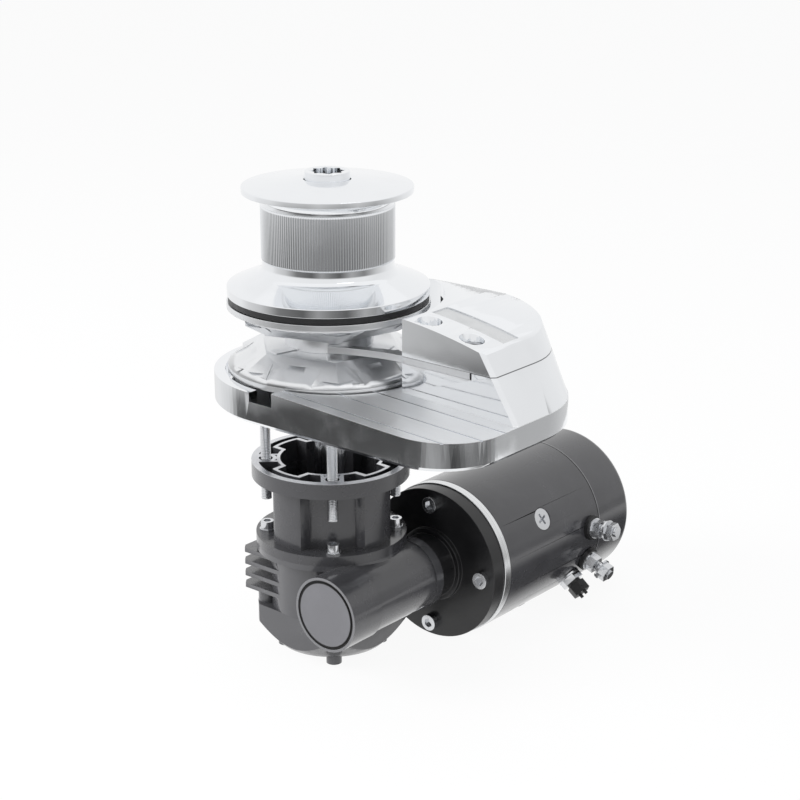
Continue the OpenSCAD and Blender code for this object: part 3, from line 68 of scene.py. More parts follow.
# Places taken from the solids, in millimetres
WORM_X, WORM_Z = 49.3, -143.5
STUD_CIRCLE, STUD_ANGLE, STUD_R, STUD_CORE_R = 49.2, -47.0, 4.0, 3.4
YOKE_R, SEAM_Y = 61.8, 204.0
TERMINAL_Y, TERMINAL_ANGLES = 192.0, (5.0, -21.0)
CAP_SEAM_Z = 51.5
PLATE_TOP, PLATE_SLOPE = 28.6, 0.0447
SPACER_TOP = -48.5
BOSS_R, BOSS_Y = 28.9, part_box("gearbox_housing")[0][1] / MM
END_CAP_FACE_R = 24.3

# Rounding of edges: smallest angle of a sharp edge in degrees, and steps of an edge round
EDGE_ANGLE, EDGE_STEPS = 32.0, 2

# How far a corner may lie from a cylinder and still count as on it, in metres
ON_CYLINDER = 3e-5

# Radius of a cylinder about the worm's axis that holes break up
TRUE_ROUNDS = {"motor_yoke": YOKE_R, "gearbox_housing": BOSS_R}

# Pieces whose bevel comes out wrong when Blender clamps its overlaps
UNCLAMPED = {"clutch_ring", "gypsy", "motor_yoke"}


# Shader maths


class Value:
    """A number on a wire of a finish's node tree; sums and products of it add Math nodes."""

    def __init__(self, finish, socket):
        self.finish, self.socket = finish, socket

    def maths(self, operation, *terms):
        """A Math node of the operation, fed by the terms."""
        return self.finish.node("ShaderNodeMath", {"operation": operation}, dict(enumerate(terms)))

    def __add__(self, other):
        return self.maths("ADD", self, other)

    def __mul__(self, other):
        return self.maths("MULTIPLY", self, other)

    def __sub__(self, other):
        return self.maths("SUBTRACT", self, other)

    def band(self, low, high, start=0.0, end=1.0):
        """start below low, end above high and a smooth step between them."""
        return self.finish.node(
            "ShaderNodeMapRange",
            {"interpolation_type": "SMOOTHSTEP"},
            {"Value": self, "From Min": low, "From Max": high, "To Min": start, "To Max": end},
        )

    def stripe(self, start, full, fall, end):
        """0, then 1 from full to fall, then 0 again, for a place in metres; the four are in
        millimetres."""
        return self.band(start * MM, full * MM) * self.band(fall * MM, end * MM, 1, 0)


class Finish:
    """One material: a Principled shader whose colour, roughness and bump vary over the piece."""

    def __init__(self, name, colour, roughness, metallic=0.0, **sockets):
        self.material = bpy.data.materials.new(name)
        self.material.use_nodes = True
        self.tree = self.material.node_tree
        self.tree.nodes.clear()
        self.shader = self.tree.nodes.new("ShaderNodeBsdfPrincipled")
        output = self.tree.nodes.new("ShaderNodeOutputMaterial")
        self.tree.links.new(self.shader.outputs[0], output.inputs["Surface"])
        self.put("Base Color", (*colour, 1))
        self.put("Roughness", roughness)
        self.put("Metallic", metallic)
        for socket, value in sockets.items():
            self.put(socket.replace("_", " "), value)
        self.place = self.node("ShaderNodeTexCoord", {}, {}, "Object")
        self.height = None

    def join(self, socket, value):
        """Links a wire to a socket, or writes a plain value there."""
        if isinstance(value, Value):
            self.tree.links.new(value.socket, socket)
        else:
            socket.default_value = value

    def put(self, socket, value):
        """Feeds an input of the shader."""
        self.join(self.shader.inputs[socket], value)

    def node(self, kind, settings, values, output=0):
        """A new node with its settings and inputs; gives the wire of one of its outputs."""
        made = self.tree.nodes.new(kind)
        for key, value in settings.items():
            setattr(made, key, value)
        for key, value in values.items():
            self.join(made.inputs[key], value)
        return Value(self, made.outputs[output])

    def along(self, axis):
        """Object coordinate along X, Y or Z, in metres."""
        return self.node("ShaderNodeSeparateXYZ", {}, {"Vector": self.place}, "XYZ".index(axis))

    def noise(self, size, detail=3.0, stretch=(1, 1, 1), rough=0.55):
        """Noise from 0 to 1 with features of about size millimetres, stretched along an axis."""
        place = self.node(
            "ShaderNodeMapping", {}, {"Vector": self.place, "Scale": tuple(1 / s for s in stretch)}
        )
        return self.node(
            "ShaderNodeTexNoise",
            {},
            {"Vector": place, "Scale": 1 / (size * MM), "Detail": detail, "Roughness": rough},
        )

    def tint(self, mask, colour):
        """Mixes another colour over the finish where the mask is 1."""
        last = self.shader.inputs["Base Color"]
        under = (
            Value(self, last.links[0].from_socket) if last.is_linked else tuple(last.default_value)
        )
        mixed = self.node(
            "ShaderNodeMix", {"data_type": "RGBA"}, {0: mask, 6: under, 7: (*colour, 1)}, 2
        )
        self.put("Base Color", mixed)

    def bump(self, height, distance, strength=1.0):
        """Raises the surface by distance millimetres where the height is 1."""
        values = {"Height": height, "Distance": distance * MM, "Strength": strength}
        if self.height is not None:
            values["Normal"] = self.height
        self.height = self.node("ShaderNodeBump", {}, values)
        self.put("Normal", self.height)


def chrome(name, colour, roughness, scratch, ripple=0.01, brushed_top=False, seam=None):
    """Mirror polish: slow ripples, smears that dull it and fine hairline scratches. With
    brushed_top the sloping top of the plate is brushed along X. seam is the height of a dark
    joint."""
    finish = Finish(name, colour, roughness, 1.0)
    smear = finish.noise(28, 4)
    hair = finish.noise(0.9, 2, (1, 14, 14)) * 0.5 + finish.noise(0.8, 2, (16, 1, 9)) * 0.5
    rough = smear.band(0.42, 0.75, roughness, roughness + 0.09) + hair.band(0.55, 0.8) * 0.05
    finish.tint(finish.noise(45, 2).band(0.5, 0.8, 0, 0.5), tuple(c * 0.93 for c in colour))
    if brushed_top:
        level = finish.along("Z") + finish.along("X") * PLATE_SLOPE
        top = level.stripe(PLATE_TOP - 0.4, PLATE_TOP - 0.2, PLATE_TOP + 0.2, PLATE_TOP + 0.4)
        lines = finish.noise(0.6, 3, (60, 1, 1))
        rough = rough + top * (lines * 0.16 + 0.2)
        finish.tint(top * lines.band(0.3, 0.7, 0.3, 0.8), (0.83, 0.835, 0.84))
        finish.bump(top * lines, 0.01, 0.5)
    if seam:
        line = finish.along("Z").stripe(seam - 0.4, seam - 0.25, seam + 0.25, seam + 0.4)
        finish.tint(line * 0.85, (0.08, 0.08, 0.085))
    finish.put("Roughness", rough)
    finish.bump(finish.noise(35, 1), ripple, 0.6)
    finish.bump(hair, scratch, 0.5)
    return finish.material


def satin(name, colour, roughness, along):
    """Brushed metal: long hairlines along one direction, with dull patches."""
    finish = Finish(name, colour, roughness, 1.0)
    lines = finish.noise(0.5, 3, along)
    patch = finish.noise(18, 4)
    finish.put("Roughness", patch.band(0.35, 0.7, roughness, roughness + 0.1) + lines * 0.08)
    finish.tint(patch.band(0.45, 0.8, 0, 0.6), tuple(c * 0.88 for c in colour))
    finish.bump(lines, 0.012, 0.6)
    finish.bump(finish.noise(12, 2), 0.02, 0.3)
    return finish.material


def paint(name, colour, roughness, peel, coat=0.0, bare_and_lit=None, seam=None, rubber=None):
    """Sprayed paint on a casting: orange peel, uneven gloss and a little dust. bare_and_lit gives
    an axis, two places on it, a colour and a metallic share: the casting is painted up to the
    first place and takes that colour from the second on, as machined bare metal where the share is
    1, and as painted light where the share is 0, a lighter grey standing in for the lamp on that
    face. seam
    is the place of a joint along Y: a dark line there, part joint and part painted shade in its
    gap, with a painted highlight on the edge behind it. Beyond the radius rubber about the worm's
    axis the piece is black rubber."""
    finish = Finish(name, colour, roughness, 0.0, Coat_Weight=coat, Coat_Roughness=0.12)
    pores = finish.noise(1.1, 3)
    patch = finish.noise(24, 4)
    rough = patch.band(0.3, 0.75, roughness - 0.05, roughness + 0.09)
    finish.tint(patch.band(0.4, 0.8, 0, 0.5), tuple(c * 1.25 + 0.008 for c in colour))
    dust = finish.noise(2.2, 5, rough=0.7).band(0.66, 0.78, 0, 0.35)
    finish.tint(dust, tuple(c * 1.6 + 0.03 for c in colour))
    if bare_and_lit:
        axis, low, high, band_colour, share = bare_and_lit
        # Painted light on the gearbox boss, where the share is 0: a lighter grey for the lamp on
        # its end face; on the spacer this band is its machined bare top.
        face_mask = finish.along(axis).band(low * MM, high * MM)
        lathe = finish.noise(0.5, 3, (1, 1, 1))
        finish.tint(face_mask * lathe.band(0.3, 0.7, 0.85, 1), band_colour)
        finish.put("Metallic", face_mask * share)
        rough = rough + face_mask * lathe * 0.12
    if seam:
        # Painted shade and highlight at the joint: the dark line is part joint and part painted
        # shade in its gap, and the pale line behind it is a painted highlight on the edge.
        place = finish.along("Y")
        dark = place.stripe(seam - 0.8, seam - 0.5, seam + 0.35, seam + 0.6)
        light = place.stripe(seam + 0.5, seam + 0.8, seam + 1.3, seam + 1.7)
        finish.tint(light * 0.7, (0.26, 0.26, 0.27))
        finish.tint(dark * 0.95, (0.004, 0.004, 0.004))
        rough = rough + dark * 0.5
    if rubber:
        x, z = finish.along("X") - WORM_X * MM, finish.along("Z") - WORM_Z * MM
        edge = (x * x + z * z).band((rubber * MM) ** 2, ((rubber + 0.2) * MM) ** 2)
        finish.tint(edge, (0.008, 0.008, 0.008))
        rough = rough + edge * 0.2
    finish.put("Roughness", rough)
    finish.bump(pores, peel, 0.7)
    finish.bump(finish.noise(14, 2), 0.06, 0.4)
    return finish.material


def turned(name, colour, roughness, axis, groove=0.03):
    """Lathe-turned metal: fine rings across the axis, with a few deeper ones."""
    finish = Finish(name, colour, roughness, 1.0)
    across = tuple(1 if a else 400 for a in axis)
    rings = finish.noise(0.35, 3, across)
    broad = finish.noise(1.6, 2, across)
    finish.put("Roughness", rings.band(0.3, 0.7, roughness, roughness + 0.12))
    finish.tint(broad.band(0.4, 0.65, 0, 0.5), tuple(c * 0.8 for c in colour))
    finish.bump(rings, groove, 0.7)
    finish.bump(broad, groove, 0.4)
    return finish.material


def dull(name, colour, roughness, grain, size=0.8):
    """Rubber, moulded plastic or board: a fine dead-matt grain with paler rubbed spots."""
    finish = Finish(name, colour, roughness)
    pores = finish.noise(size, 4)
    worn = finish.noise(9, 5, rough=0.65)
    finish.put("Roughness", worn.band(0.3, 0.8, roughness - 0.12, roughness + 0.08))
    finish.tint(worn.band(0.55, 0.85, 0, 0.5), tuple(c * 2.2 for c in colour))
    finish.bump(pores, grain, 0.7)
    return finish.material


def wound(name, colour):
    """Varnished copper wire: close-set strands, with painted shade between them."""
    finish = Finish(name, colour, 0.32, 0.9, Coat_Weight=0.6, Coat_Roughness=0.2)
    strands = finish.noise(0.9, 1, (1, 60, 1))
    # Painted shade: the grooves between the strands are darker.
    finish.tint(strands.band(0.5, 0.35, 0, 0.7), tuple(c * 0.35 for c in colour))
    finish.put("Roughness", strands.band(0.3, 0.7, 0.42, 0.24))
    finish.bump(strands, 0.25, 0.8)
    return finish.material


CHROME = (0.86, 0.875, 0.895)
# Boss end face: a lighter grey with no metal, painted light standing in for the lamp on that face;
# the casting's own paint is the dark gearbox grey.
BOSS_LIT_FACE = ("Y", BOSS_Y + 0.45, BOSS_Y + 0.3, (0.15, 0.15, 0.158), 0.0)
SPACER_CUT = ("Z", SPACER_TOP - 0.35, SPACER_TOP - 0.2, (0.72, 0.73, 0.76), 1.0)
FINISHES = {
    "polished": chrome("polished", CHROME, 0.07, 0.0015, seam=CAP_SEAM_Z),
    "plate_metal": chrome("plate_metal", CHROME, 0.06, 0.0015, brushed_top=True, seam=CAP_SEAM_Z),
    "cast_satin": chrome("cast_satin", (0.84, 0.85, 0.865), 0.3, 0.004, 0.02),
    "satin_steel": chrome("satin_steel", (0.7, 0.71, 0.73), 0.17, 0.004, 0.02),
    "dark_steel": chrome("dark_steel", (0.4, 0.41, 0.43), 0.13, 0.004, 0.02),
    "name_plate": satin("name_plate", (0.7, 0.71, 0.72), 0.3, (60, 1, 1)),
    "bearing_steel": turned("bearing_steel", (0.6, 0.62, 0.65), 0.18, (0, 0, 1)),
    "gearbox_paint": paint("gearbox_paint", (0.06, 0.06, 0.065), 0.22, 0.02, 0.6, BOSS_LIT_FACE),
    "spacer_paint": paint("spacer_paint", (0.042, 0.042, 0.046), 0.24, 0.03, 0.45, SPACER_CUT),
    # Painted light: the end cap's grey is lighter than the gearbox's dark paint, standing in for
    # the lamp on the worm's end.
    "end_cap_paint": paint("end_cap_paint", (0.14, 0.14, 0.15), 0.4, 0.025, rubber=END_CAP_FACE_R),
    "motor_paint": paint("motor_paint", (0.05, 0.05, 0.055), 0.2, 0.012, 0.6, seam=SEAM_Y),
    "flange_black": paint("flange_black", (0.009, 0.009, 0.01), 0.34, 0.03, 0.15),
    "ring_aluminium": turned("ring_aluminium", (0.8, 0.81, 0.82), 0.2, (0, 1, 0)),
    "black_rubber": dull("black_rubber", (0.005, 0.005, 0.005), 0.7, 0.02),
    "black_plastic": dull("black_plastic", (0.014, 0.014, 0.015), 0.45, 0.02),
    "bronze": turned("bronze", (0.62, 0.42, 0.18), 0.24, (0, 0, 1)),
    "core_steel": turned("core_steel", (0.28, 0.28, 0.29), 0.35, (0, 1, 0), 0.06),
    "copper": wound("copper", (0.55, 0.26, 0.13)),
    "carbon": dull("carbon", (0.03, 0.03, 0.03), 0.55, 0.03, 0.4),
    "brush_board": dull("brush_board", (0.36, 0.22, 0.11), 0.5, 0.03, 1.5),
}


# Surfaces


def grid_mesh(name, grid, wrap_rows=False, wrap_columns=True):
    """A mesh over grid[row, column, xyz] in millimetres: four neighbours make a face."""
    rows, columns = grid.shape[:2]
    index = np.arange(rows * columns).reshape(rows, columns)
    if wrap_rows:
        index = np.vstack([index, index[:1]])
    if wrap_columns:
        index = np.hstack([index, index[:, :1]])
    quads = np.stack([index[:-1, :-1], index[:-1, 1:], index[1:, 1:], index[1:, :-1]], -1)
    mesh = bpy.data.meshes.new(name)
    mesh.from_pydata((grid.reshape(-1, 3) * MM).tolist(), [], quads.reshape(-1, 4).tolist())
    return mesh


def finished(name, mesh, body, slot, nodes=(), sharp=30.0):
    """Closes poles and seams, turns the faces outwards and gives the piece its finish and body."""
    work = bmesh.new()
    work.from_mesh(mesh)
    bmesh.ops.remove_doubles(work, verts=work.verts, dist=2e-6)
    bmesh.ops.recalc_face_normals(work, faces=work.faces)
    work.to_mesh(mesh)
    work.free()
    mesh.shade_smooth()
    mesh.set_sharp_from_angle(angle=math.radians(sharp))
    return dressed(name, mesh, body, slot, nodes)


def dressed(name, mesh, body, slot, nodes=()):
    """A piece with its finish, which rides on a body and stands for the nodes."""
    piece = bpy.data.objects.new(name, mesh)
    scene.collection.objects.link(piece)
    mesh.materials.clear()
    mesh.materials.append(FINISHES[slot])
    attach(piece, body)
    if nodes:
        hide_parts(*nodes)
    return piece


def rounded(points, steps=6):
    """Points (r, z, radius) of an outline; each corner becomes an arc of its radius, whose ends
    lie radius / tan(half the corner angle) along both edges."""
    outline = []
    count = len(points)
    for i, (x, y, radius) in enumerate(points):
        here = np.array([x, y])
        if radius <= 0:
            outline.append(here[None])
            continue
        before = np.array(points[i - 1][:2]) - here
        after = np.array(points[(i + 1) % count][:2]) - here
        before, after = before / np.linalg.norm(before), after / np.linalg.norm(after)
        half = math.acos(np.clip(before @ after, -1, 1)) / 2
        middle = here + radius / math.sin(half) * (before + after) / np.linalg.norm(before + after)
        start = here + before * radius / math.tan(half) - middle
        end = here + after * radius / math.tan(half) - middle
        share = np.linspace(0, 1, steps + 1)[:, None]
        total = math.acos(np.clip(start @ end / radius**2, -1, 1))
        arc = (np.sin((1 - share) * total) * start + np.sin(share * total) * end) / math.sin(total)
        outline.append(middle + arc)
    return np.vstack(outline)


def turned_grid(outline, segments):
    """A closed outline (r, z) turned about Z: x = r cos a, y = r sin a."""
    angle = np.linspace(0, TURN, segments, endpoint=False)
    r, z = outline[:, 0, None], outline[:, 1, None]
    return np.stack([r * np.cos(angle), r * np.sin(angle), z + 0 * angle], -1)


def turned_piece(name, corners, body, slot, nodes, segments):
    """A piece turned about Z from the corners of its outline, shaded by its largest faces."""
    grid = turned_grid(rounded(corners), segments)
    piece = finished(name, grid_mesh(name, grid, wrap_rows=True), body, slot, nodes)
    flat = piece.modifiers.new("flat", "WEIGHTED_NORMAL")
    flat.weight = 100
    flat.keep_sharp = True
    return piece


def thread_grid(radius, pitch, depth, low, high, columns=24, rows_each=8, core=None):
    """A screw thread about Z: r = radius - depth * |saw(z / pitch - angle)|, fading at the ends.
    core adds a plain end of its own radius, up to its own height."""
    rows = int((high - low) / pitch * rows_each) + 1
    z = np.linspace(low, high, rows)[:, None]
    angle = np.linspace(0, TURN, columns, endpoint=False)
    turn = z / pitch - angle / TURN
    saw = 2 * np.abs(turn - np.floor(turn) - 0.5)
    fade = np.clip(np.minimum(z - low, high - z) / pitch, 0, 1)
    r = radius - depth * saw * fade
    body = np.stack([r * np.cos(angle), r * np.sin(angle), z + 0 * angle], -1)
    if core:
        core_radius, core_top = core
        edge = [np.cos(angle) * core_radius, np.sin(angle) * core_radius]
        plain = [np.stack([*edge, 0 * angle + end], -1) for end in (high, core_top)]
        body = np.vstack([body, plain])
        high = core_top
    centre = np.zeros((1, columns, 3))
    bottom, top = centre + [0, 0, low], centre + [0, 0, high]
    return np.vstack([bottom, body, top])


def solid_copy(node, slot, body, width):
    """The solid's own mesh with its flat faces joined, its curves smooth and its edges rounded."""
    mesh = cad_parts[node].data.copy()
    mesh.name = node + "_skin"
    work = bmesh.new()
    work.from_mesh(mesh)
    bmesh.ops.remove_doubles(work, verts=work.verts, dist=1e-6)
    bmesh.ops.dissolve_limit(
        work,
        angle_limit=math.radians(0.04),
        use_dissolve_boundaries=False,
        verts=work.verts,
        edges=work.edges,
    )
    work.to_mesh(mesh)
    work.free()
    mesh.shade_smooth()
    mesh.set_sharp_from_angle(angle=math.radians(EDGE_ANGLE))
    piece = dressed(node + "_skin", mesh, body, slot, (node,))
    if width:
        bevel = piece.modifiers.new("edge", "BEVEL")
        bevel.width = width * MM
        bevel.segments = EDGE_STEPS
        bevel.limit_method = "ANGLE"
        bevel.angle_limit = math.radians(EDGE_ANGLE)
        bevel.harden_normals = True
        bevel.use_clamp_overlap = node not in UNCLAMPED
        bevel.miter_outer = "MITER_ARC"
    return piece


def true_round(piece, radius):
    """Bakes the edge rounds of a piece, and gives each face whose corners all lie on the cylinder
    of this radius about the worm's axis the normals of a true cylinder, so that the thin faces
    beside its holes show less."""
    graph = bpy.context.evaluated_depsgraph_get()
    mesh = bpy.data.meshes.new_from_object(piece.evaluated_get(graph))
    piece.modifiers.clear()
    piece.data = mesh
    corner = np.empty((len(mesh.loops), 3), np.float32)
    at = np.empty(len(mesh.loops), np.int32)
    place = np.empty((len(mesh.vertices), 3), np.float32)
    sides = np.empty(len(mesh.polygons), np.int32)
    mesh.corner_normals.foreach_get("vector", corner.ravel())
    mesh.loops.foreach_get("vertex_index", at)
    mesh.vertices.foreach_get("co", place.ravel())
    mesh.polygons.foreach_get("loop_total", sides)
    out = (place - [WORM_X * MM, 0, WORM_Z * MM])[at] * [1, 0, 1]
    reach = np.linalg.norm(out, axis=1)
    away = out / np.maximum(reach, 1e-9)[:, None]
    near = np.abs(reach - radius * MM) < ON_CYLINDER
    on = np.repeat(np.logical_and.reduceat(near, np.cumsum(sides) - sides), sides)
    mesh.normals_split_custom_set(np.where(on[:, None], away, corner).tolist())


# Rope drum

RIBS, RIB_ENDS_Z = 160, (107.5, 148.5)
RIB_BACK_R, RIB_FOOT_R, RIB_RISE = 48.2, 48.62, 0.62


def drum_pieces():
    """Turned drum: the hub with room for the key, the crowned top, the barrel between two rounds
    and the wide lower rim. The ribs round the barrel have the radius RIB_FOOT_R plus RIB_RISE
    times (0.12 plus the size of cos(half the ribs times the angle) to the power 0.7), and fade
    to the foot over 0.8 mm at both ends."""
    corners = [
        (17.2, 118, 0), (16.8, 118, 0), (16.8, 81.3, 0), (24, 81.3, 0), (24, 150.5, 0),
        (42.7, 150.5, 0), (42.7, 92.8, 0), (69, 81.8, 0), (69, 81.3, 0), (75, 81.3, 0.5),
        (75, 87.8, 0.7), (48.7, 98.8, 8), (48.7, 156.9, 8), (63, 156.9, 0.6), (63, 161.5, 0.9),
        (21.2, 166.4, 1.2), (17.2, 166.4, 1.4),
    ]
    turned_piece("drum_skin", corners, "drum", "polished", ("drum",), 256)
    low, high = RIB_ENDS_Z
    angle = np.linspace(0, TURN, RIBS * 8, endpoint=False)
    middle = np.linspace(low + 2, high - 2, 7)
    z = np.array([low, low + 0.3, low + 0.8, *middle, high - 0.8, high - 0.3, high])
    fade = np.clip(np.minimum(z - low, high - z) / 0.8, 0, 1)[:, None]
    r = RIB_FOOT_R + RIB_RISE * fade * (0.12 + np.abs(np.cos(angle * RIBS / 2)) ** 0.7)
    outer = np.stack([r * np.cos(angle), r * np.sin(angle), z[:, None] + 0 * angle], -1)
    inner = outer[::-1].copy()
    inner[..., 0], inner[..., 1] = RIB_BACK_R * np.cos(angle), RIB_BACK_R * np.sin(angle)
    band = grid_mesh("drum_ribs", np.vstack([outer, inner]), wrap_rows=True)
    finished("drum_ribs", band, "drum", "polished", sharp=60)


# Skins over the solids, by body: finish and width of the edge round in millimetres
SKINS = {
    "base": {
        "base_plate": ("plate_metal", 0.7), "housing_cap": ("polished", 0.9),
        "cap_screws": ("dark_steel", 0.5), "name_plate": ("name_plate", 0.15),
        "chain_stripper": ("cast_satin", 0.6), "upper_bush": ("bronze", 0.2),
        "upper_seal": ("black_rubber", 0.3), "deck_spacer": ("spacer_paint", 0.5),
        "spacer_screws": ("satin_steel", 0.4), "shaft_seal": ("black_rubber", 0.3),
        "gearbox_housing": ("gearbox_paint", 0.7), "upper_bearing": ("bearing_steel", 0.4),
        "lower_bearing": ("bearing_steel", 0.4), "bottom_cover": ("gearbox_paint", 0.9),
        "cover_screws": ("satin_steel", 0.4), "worm_end_cap": ("end_cap_paint", 0.4),
        "end_cap_seal": ("black_rubber", 0.2), "worm_front_bearing": ("bearing_steel", 0.4),
        "worm_rear_bearing": ("bearing_steel", 0.4), "motor_flange": ("flange_black", 0.7),
        "flange_screws": ("satin_steel", 0.5), "front_ring": ("ring_aluminium", 0.5),
        "motor_front_bearing": ("bearing_steel", 0.4), "motor_yoke": ("motor_paint", 0.35),
        "pole_shoes": ("core_steel", 0.3), "field_coils": ("copper", 1.0),
        "pole_screws": ("satin_steel", 0.25), "rear_cap": ("motor_paint", 0.5),
        "through_bolts": ("satin_steel", 0.3), "rear_bearing": ("bearing_steel", 0.4),
        "brush_plate": ("brush_board", 0.25), "brushes": ("carbon", 0.25),
        "brush_springs": ("satin_steel", 0.2), "terminal_insulators": ("black_plastic", 0.3),
        "terminal_nuts": ("satin_steel", 0.4), "thermal_switch": ("black_plastic", 0.4),
        "switch_nut": ("satin_steel", 0.4),
    },
    "main_shaft": {
        "main_shaft": ("satin_steel", 0.4), "shaft_keys": ("satin_steel", 0.2),
        "lower_cone": ("satin_steel", 0.4), "worm_wheel": ("bronze", 0.2),
        "wheel_hub": ("core_steel", 0.4), "shaft_circlips": ("satin_steel", 0.15),
    },
    "gypsy": {
        "gypsy": ("cast_satin", 0.3), "gypsy_bush": ("bronze", 0.3),
    },
    "drum": {
        "clutch_ring": ("black_plastic", 0.4), "nut_washer": ("bronze", 0.2),
    },
    "clutch_nut": {
        "clutch_nut": ("polished", 0.6),
    },
    "worm": {
        "worm_shaft": ("bearing_steel", 0.0), "shaft_coupling": ("core_steel", 0.4),
        "motor_shaft": ("satin_steel", 0.4), "armature_core": ("core_steel", 0.2),
        "armature_windings": ("copper", 0.5), "commutator": ("copper", 0.1),
    },
}


def skins():
    """A skin over every solid that no turned or threaded piece replaces."""
    for body, nodes in SKINS.items():
        for node, (slot, width) in nodes.items():
            piece = solid_copy(node, slot, body, width)
            if node in TRUE_ROUNDS:
                true_round(piece, TRUE_ROUNDS[node])


# Threads of the deck studs and the terminals, both M8

PITCH, THREAD_DEPTH = 1.25, 0.5


def stud_pieces():
    """Four deck studs with their thread, one mesh; their ends are those of the solids."""
    low, high = (corner[2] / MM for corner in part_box("deck_studs"))
    one = thread_grid(STUD_R, PITCH, THREAD_DEPTH, low, 0, core=(STUD_CORE_R, high))
    grids = []
    for i in range(4):
        angle = math.radians(STUD_ANGLE + 90 * i)
        place = [STUD_CIRCLE * math.cos(angle), STUD_CIRCLE * math.sin(angle), 0]
        grids.append(one + place)
    joined("deck_studs_skin", grids, "base", "satin_steel", ("deck_studs",))


def joined(name, grids, body, slot, nodes=(), sharp=35.0):
    """Several closed grids as one piece."""
    work = bmesh.new()
    for grid in grids:
        mesh = grid_mesh(name, grid)
        work.from_mesh(mesh)
        bpy.data.meshes.remove(mesh)
    mesh = bpy.data.meshes.new(name)
    work.to_mesh(mesh)
    work.free()
    return finished(name, mesh, body, slot, nodes, sharp)


def outward(grid, angle, y):
    """Turns a shape built about Z so that its Z points out of the motor at an angle above X."""
    a = math.radians(angle)
    out = np.array([math.cos(a), 0, math.sin(a)])
    up = np.array([-math.sin(a), 0, math.cos(a)])
    along = np.array([0, 1, 0])
    flat = grid[..., :1] * along + grid[..., 1:2] * up + grid[..., 2:] * out
    return flat + [WORM_X, y, WORM_Z]


def terminal_pieces():
    """The two threaded terminal studs, through the wall of the motor."""
    one = thread_grid(STUD_R, PITCH, THREAD_DEPTH, YOKE_R - 12, YOKE_R + 26)
    grids = [outward(one, angle, TERMINAL_Y) for angle in TERMINAL_ANGLES]
    joined("terminal_studs_skin", grids, "base", "satin_steel", ("terminal_studs",))


# Studio


def glowing(name, attribute):
    """A light-coloured sheet whose brightness is the mesh's own attribute."""
    material = bpy.data.materials.new(name)
    material.use_nodes = True
    material.cycles.emission_sampling = "NONE"
    tree = material.node_tree
    tree.nodes.clear()
    level = tree.nodes.new("ShaderNodeAttribute")
    level.attribute_name = attribute
    shader = tree.nodes.new("ShaderNodeEmission")
    tree.links.new(level.outputs["Fac"], shader.inputs["Strength"])
    output = tree.nodes.new("ShaderNodeOutputMaterial")
    tree.links.new(shader.outputs[0], output.inputs["Surface"])
    return material


def background_rays(tree):
    """1 for camera, mirror and glass rays, 0 for the light that falls on the part."""
    path = tree.nodes.new("ShaderNodeLightPath")
    total = path.outputs["Is Camera Ray"]
    for ray in ("Is Glossy Ray", "Is Transmission Ray"):
        add = tree.nodes.new("ShaderNodeMath")
        add.operation = "MAXIMUM"
        tree.links.new(total, add.inputs[0])
        tree.links.new(path.outputs[ray], add.inputs[1])
        total = add.outputs[0]
    return total


def floor_material():
    """A pale floor that shows as white and keeps a soft shadow."""
    material = bpy.data.materials.new("floor")
    material.use_nodes = True
    tree = material.node_tree
    tree.nodes.clear()
    diffuse = tree.nodes.new("ShaderNodeBsdfDiffuse")
    diffuse.inputs["Color"].default_value = (0.92, 0.92, 0.93, 1)
    glow = tree.nodes.new("ShaderNodeEmission")
    share = tree.nodes.new("ShaderNodeMath")
    share.operation = "MULTIPLY"
    tree.links.new(background_rays(tree), share.inputs[0])
    share.inputs[1].default_value = 0.93
    mix = tree.nodes.new("ShaderNodeMixShader")
    output = tree.nodes.new("ShaderNodeOutputMaterial")
    tree.links.new(share.outputs[0], mix.inputs[0])
    tree.links.new(diffuse.outputs[0], mix.inputs[1])
    tree.links.new(glow.outputs[0], mix.inputs[2])
    tree.links.new(mix.outputs[0], output.inputs["Surface"])
    return material


def plane(name, centre, across, up, material):
    """A rectangle about centre with the half sides across and up, in metres."""
    c, a, u = (np.array(v, float) for v in (centre, across, up))
    mesh = bpy.data.meshes.new(name)
    corners = [tuple(c - a - u), tuple(c + a - u), tuple(c + a + u), tuple(c - a + u)]
    mesh.from_pydata(corners, [], [(0, 1, 2, 3)])
    mesh.materials.append(material)
    made = bpy.data.objects.new(name, mesh)
    scene.collection.objects.link(made)


# Grey levels of the tent round the set: angle in degrees, then the level low, midway and high
TENT_LEVELS = (
    (-180, 0.85, 0.92, 0.97), (-155, 0.7, 0.9, 0.97), (-142, 0.12, 0.72, 0.96),
    (-125, 0.07, 0.6, 0.95), (-105, 0.08, 0.2, 0.92), (-80, 0.1, 0.12, 0.9),
    (-65, 0.38, 0.34, 0.9), (-50, 0.3, 0.2, 0.9), (-35, 0.05, 0.12, 0.9),
    (-15, 0.22, 0.42, 0.9), (10, 0.14, 0.24, 0.92), (40, 0.45, 0.62, 0.86),
    (70, 0.6, 0.85, 0.9), (110, 0.7, 0.95, 0.96), (150, 0.8, 0.96, 0.97),
    (180, 0.85, 0.92, 0.97),
)
TENT_R, TENT_CENTRE, TENT_TOP = 0.62, (0.04, 0.05), 0.6


def smooth(value, low, high):
    """0 below low, 1 above high and 3 t^2 - 2 t^3 between them."""
    t = np.clip((value - low) / (high - low), 0, 1)
    return t * t * (3 - 2 * t)


def sheet(name, grid, level, wrap):
    """A soft sheet of the studio, seen only in mirror-like faces; level is its brightness."""
    mesh = grid_mesh(name, grid / MM, wrap_columns=wrap)
    brightness = mesh.attributes.new("level", "FLOAT", "POINT")
    brightness.data.foreach_set("value", level.ravel().astype(np.float32))
    mesh.materials.append(glowing(name, "level"))
    made = bpy.data.objects.new(name, mesh)
    scene.collection.objects.link(made)
    for ray in ("camera", "diffuse", "shadow", "transmission"):
        setattr(made, "visible_" + ray, False)


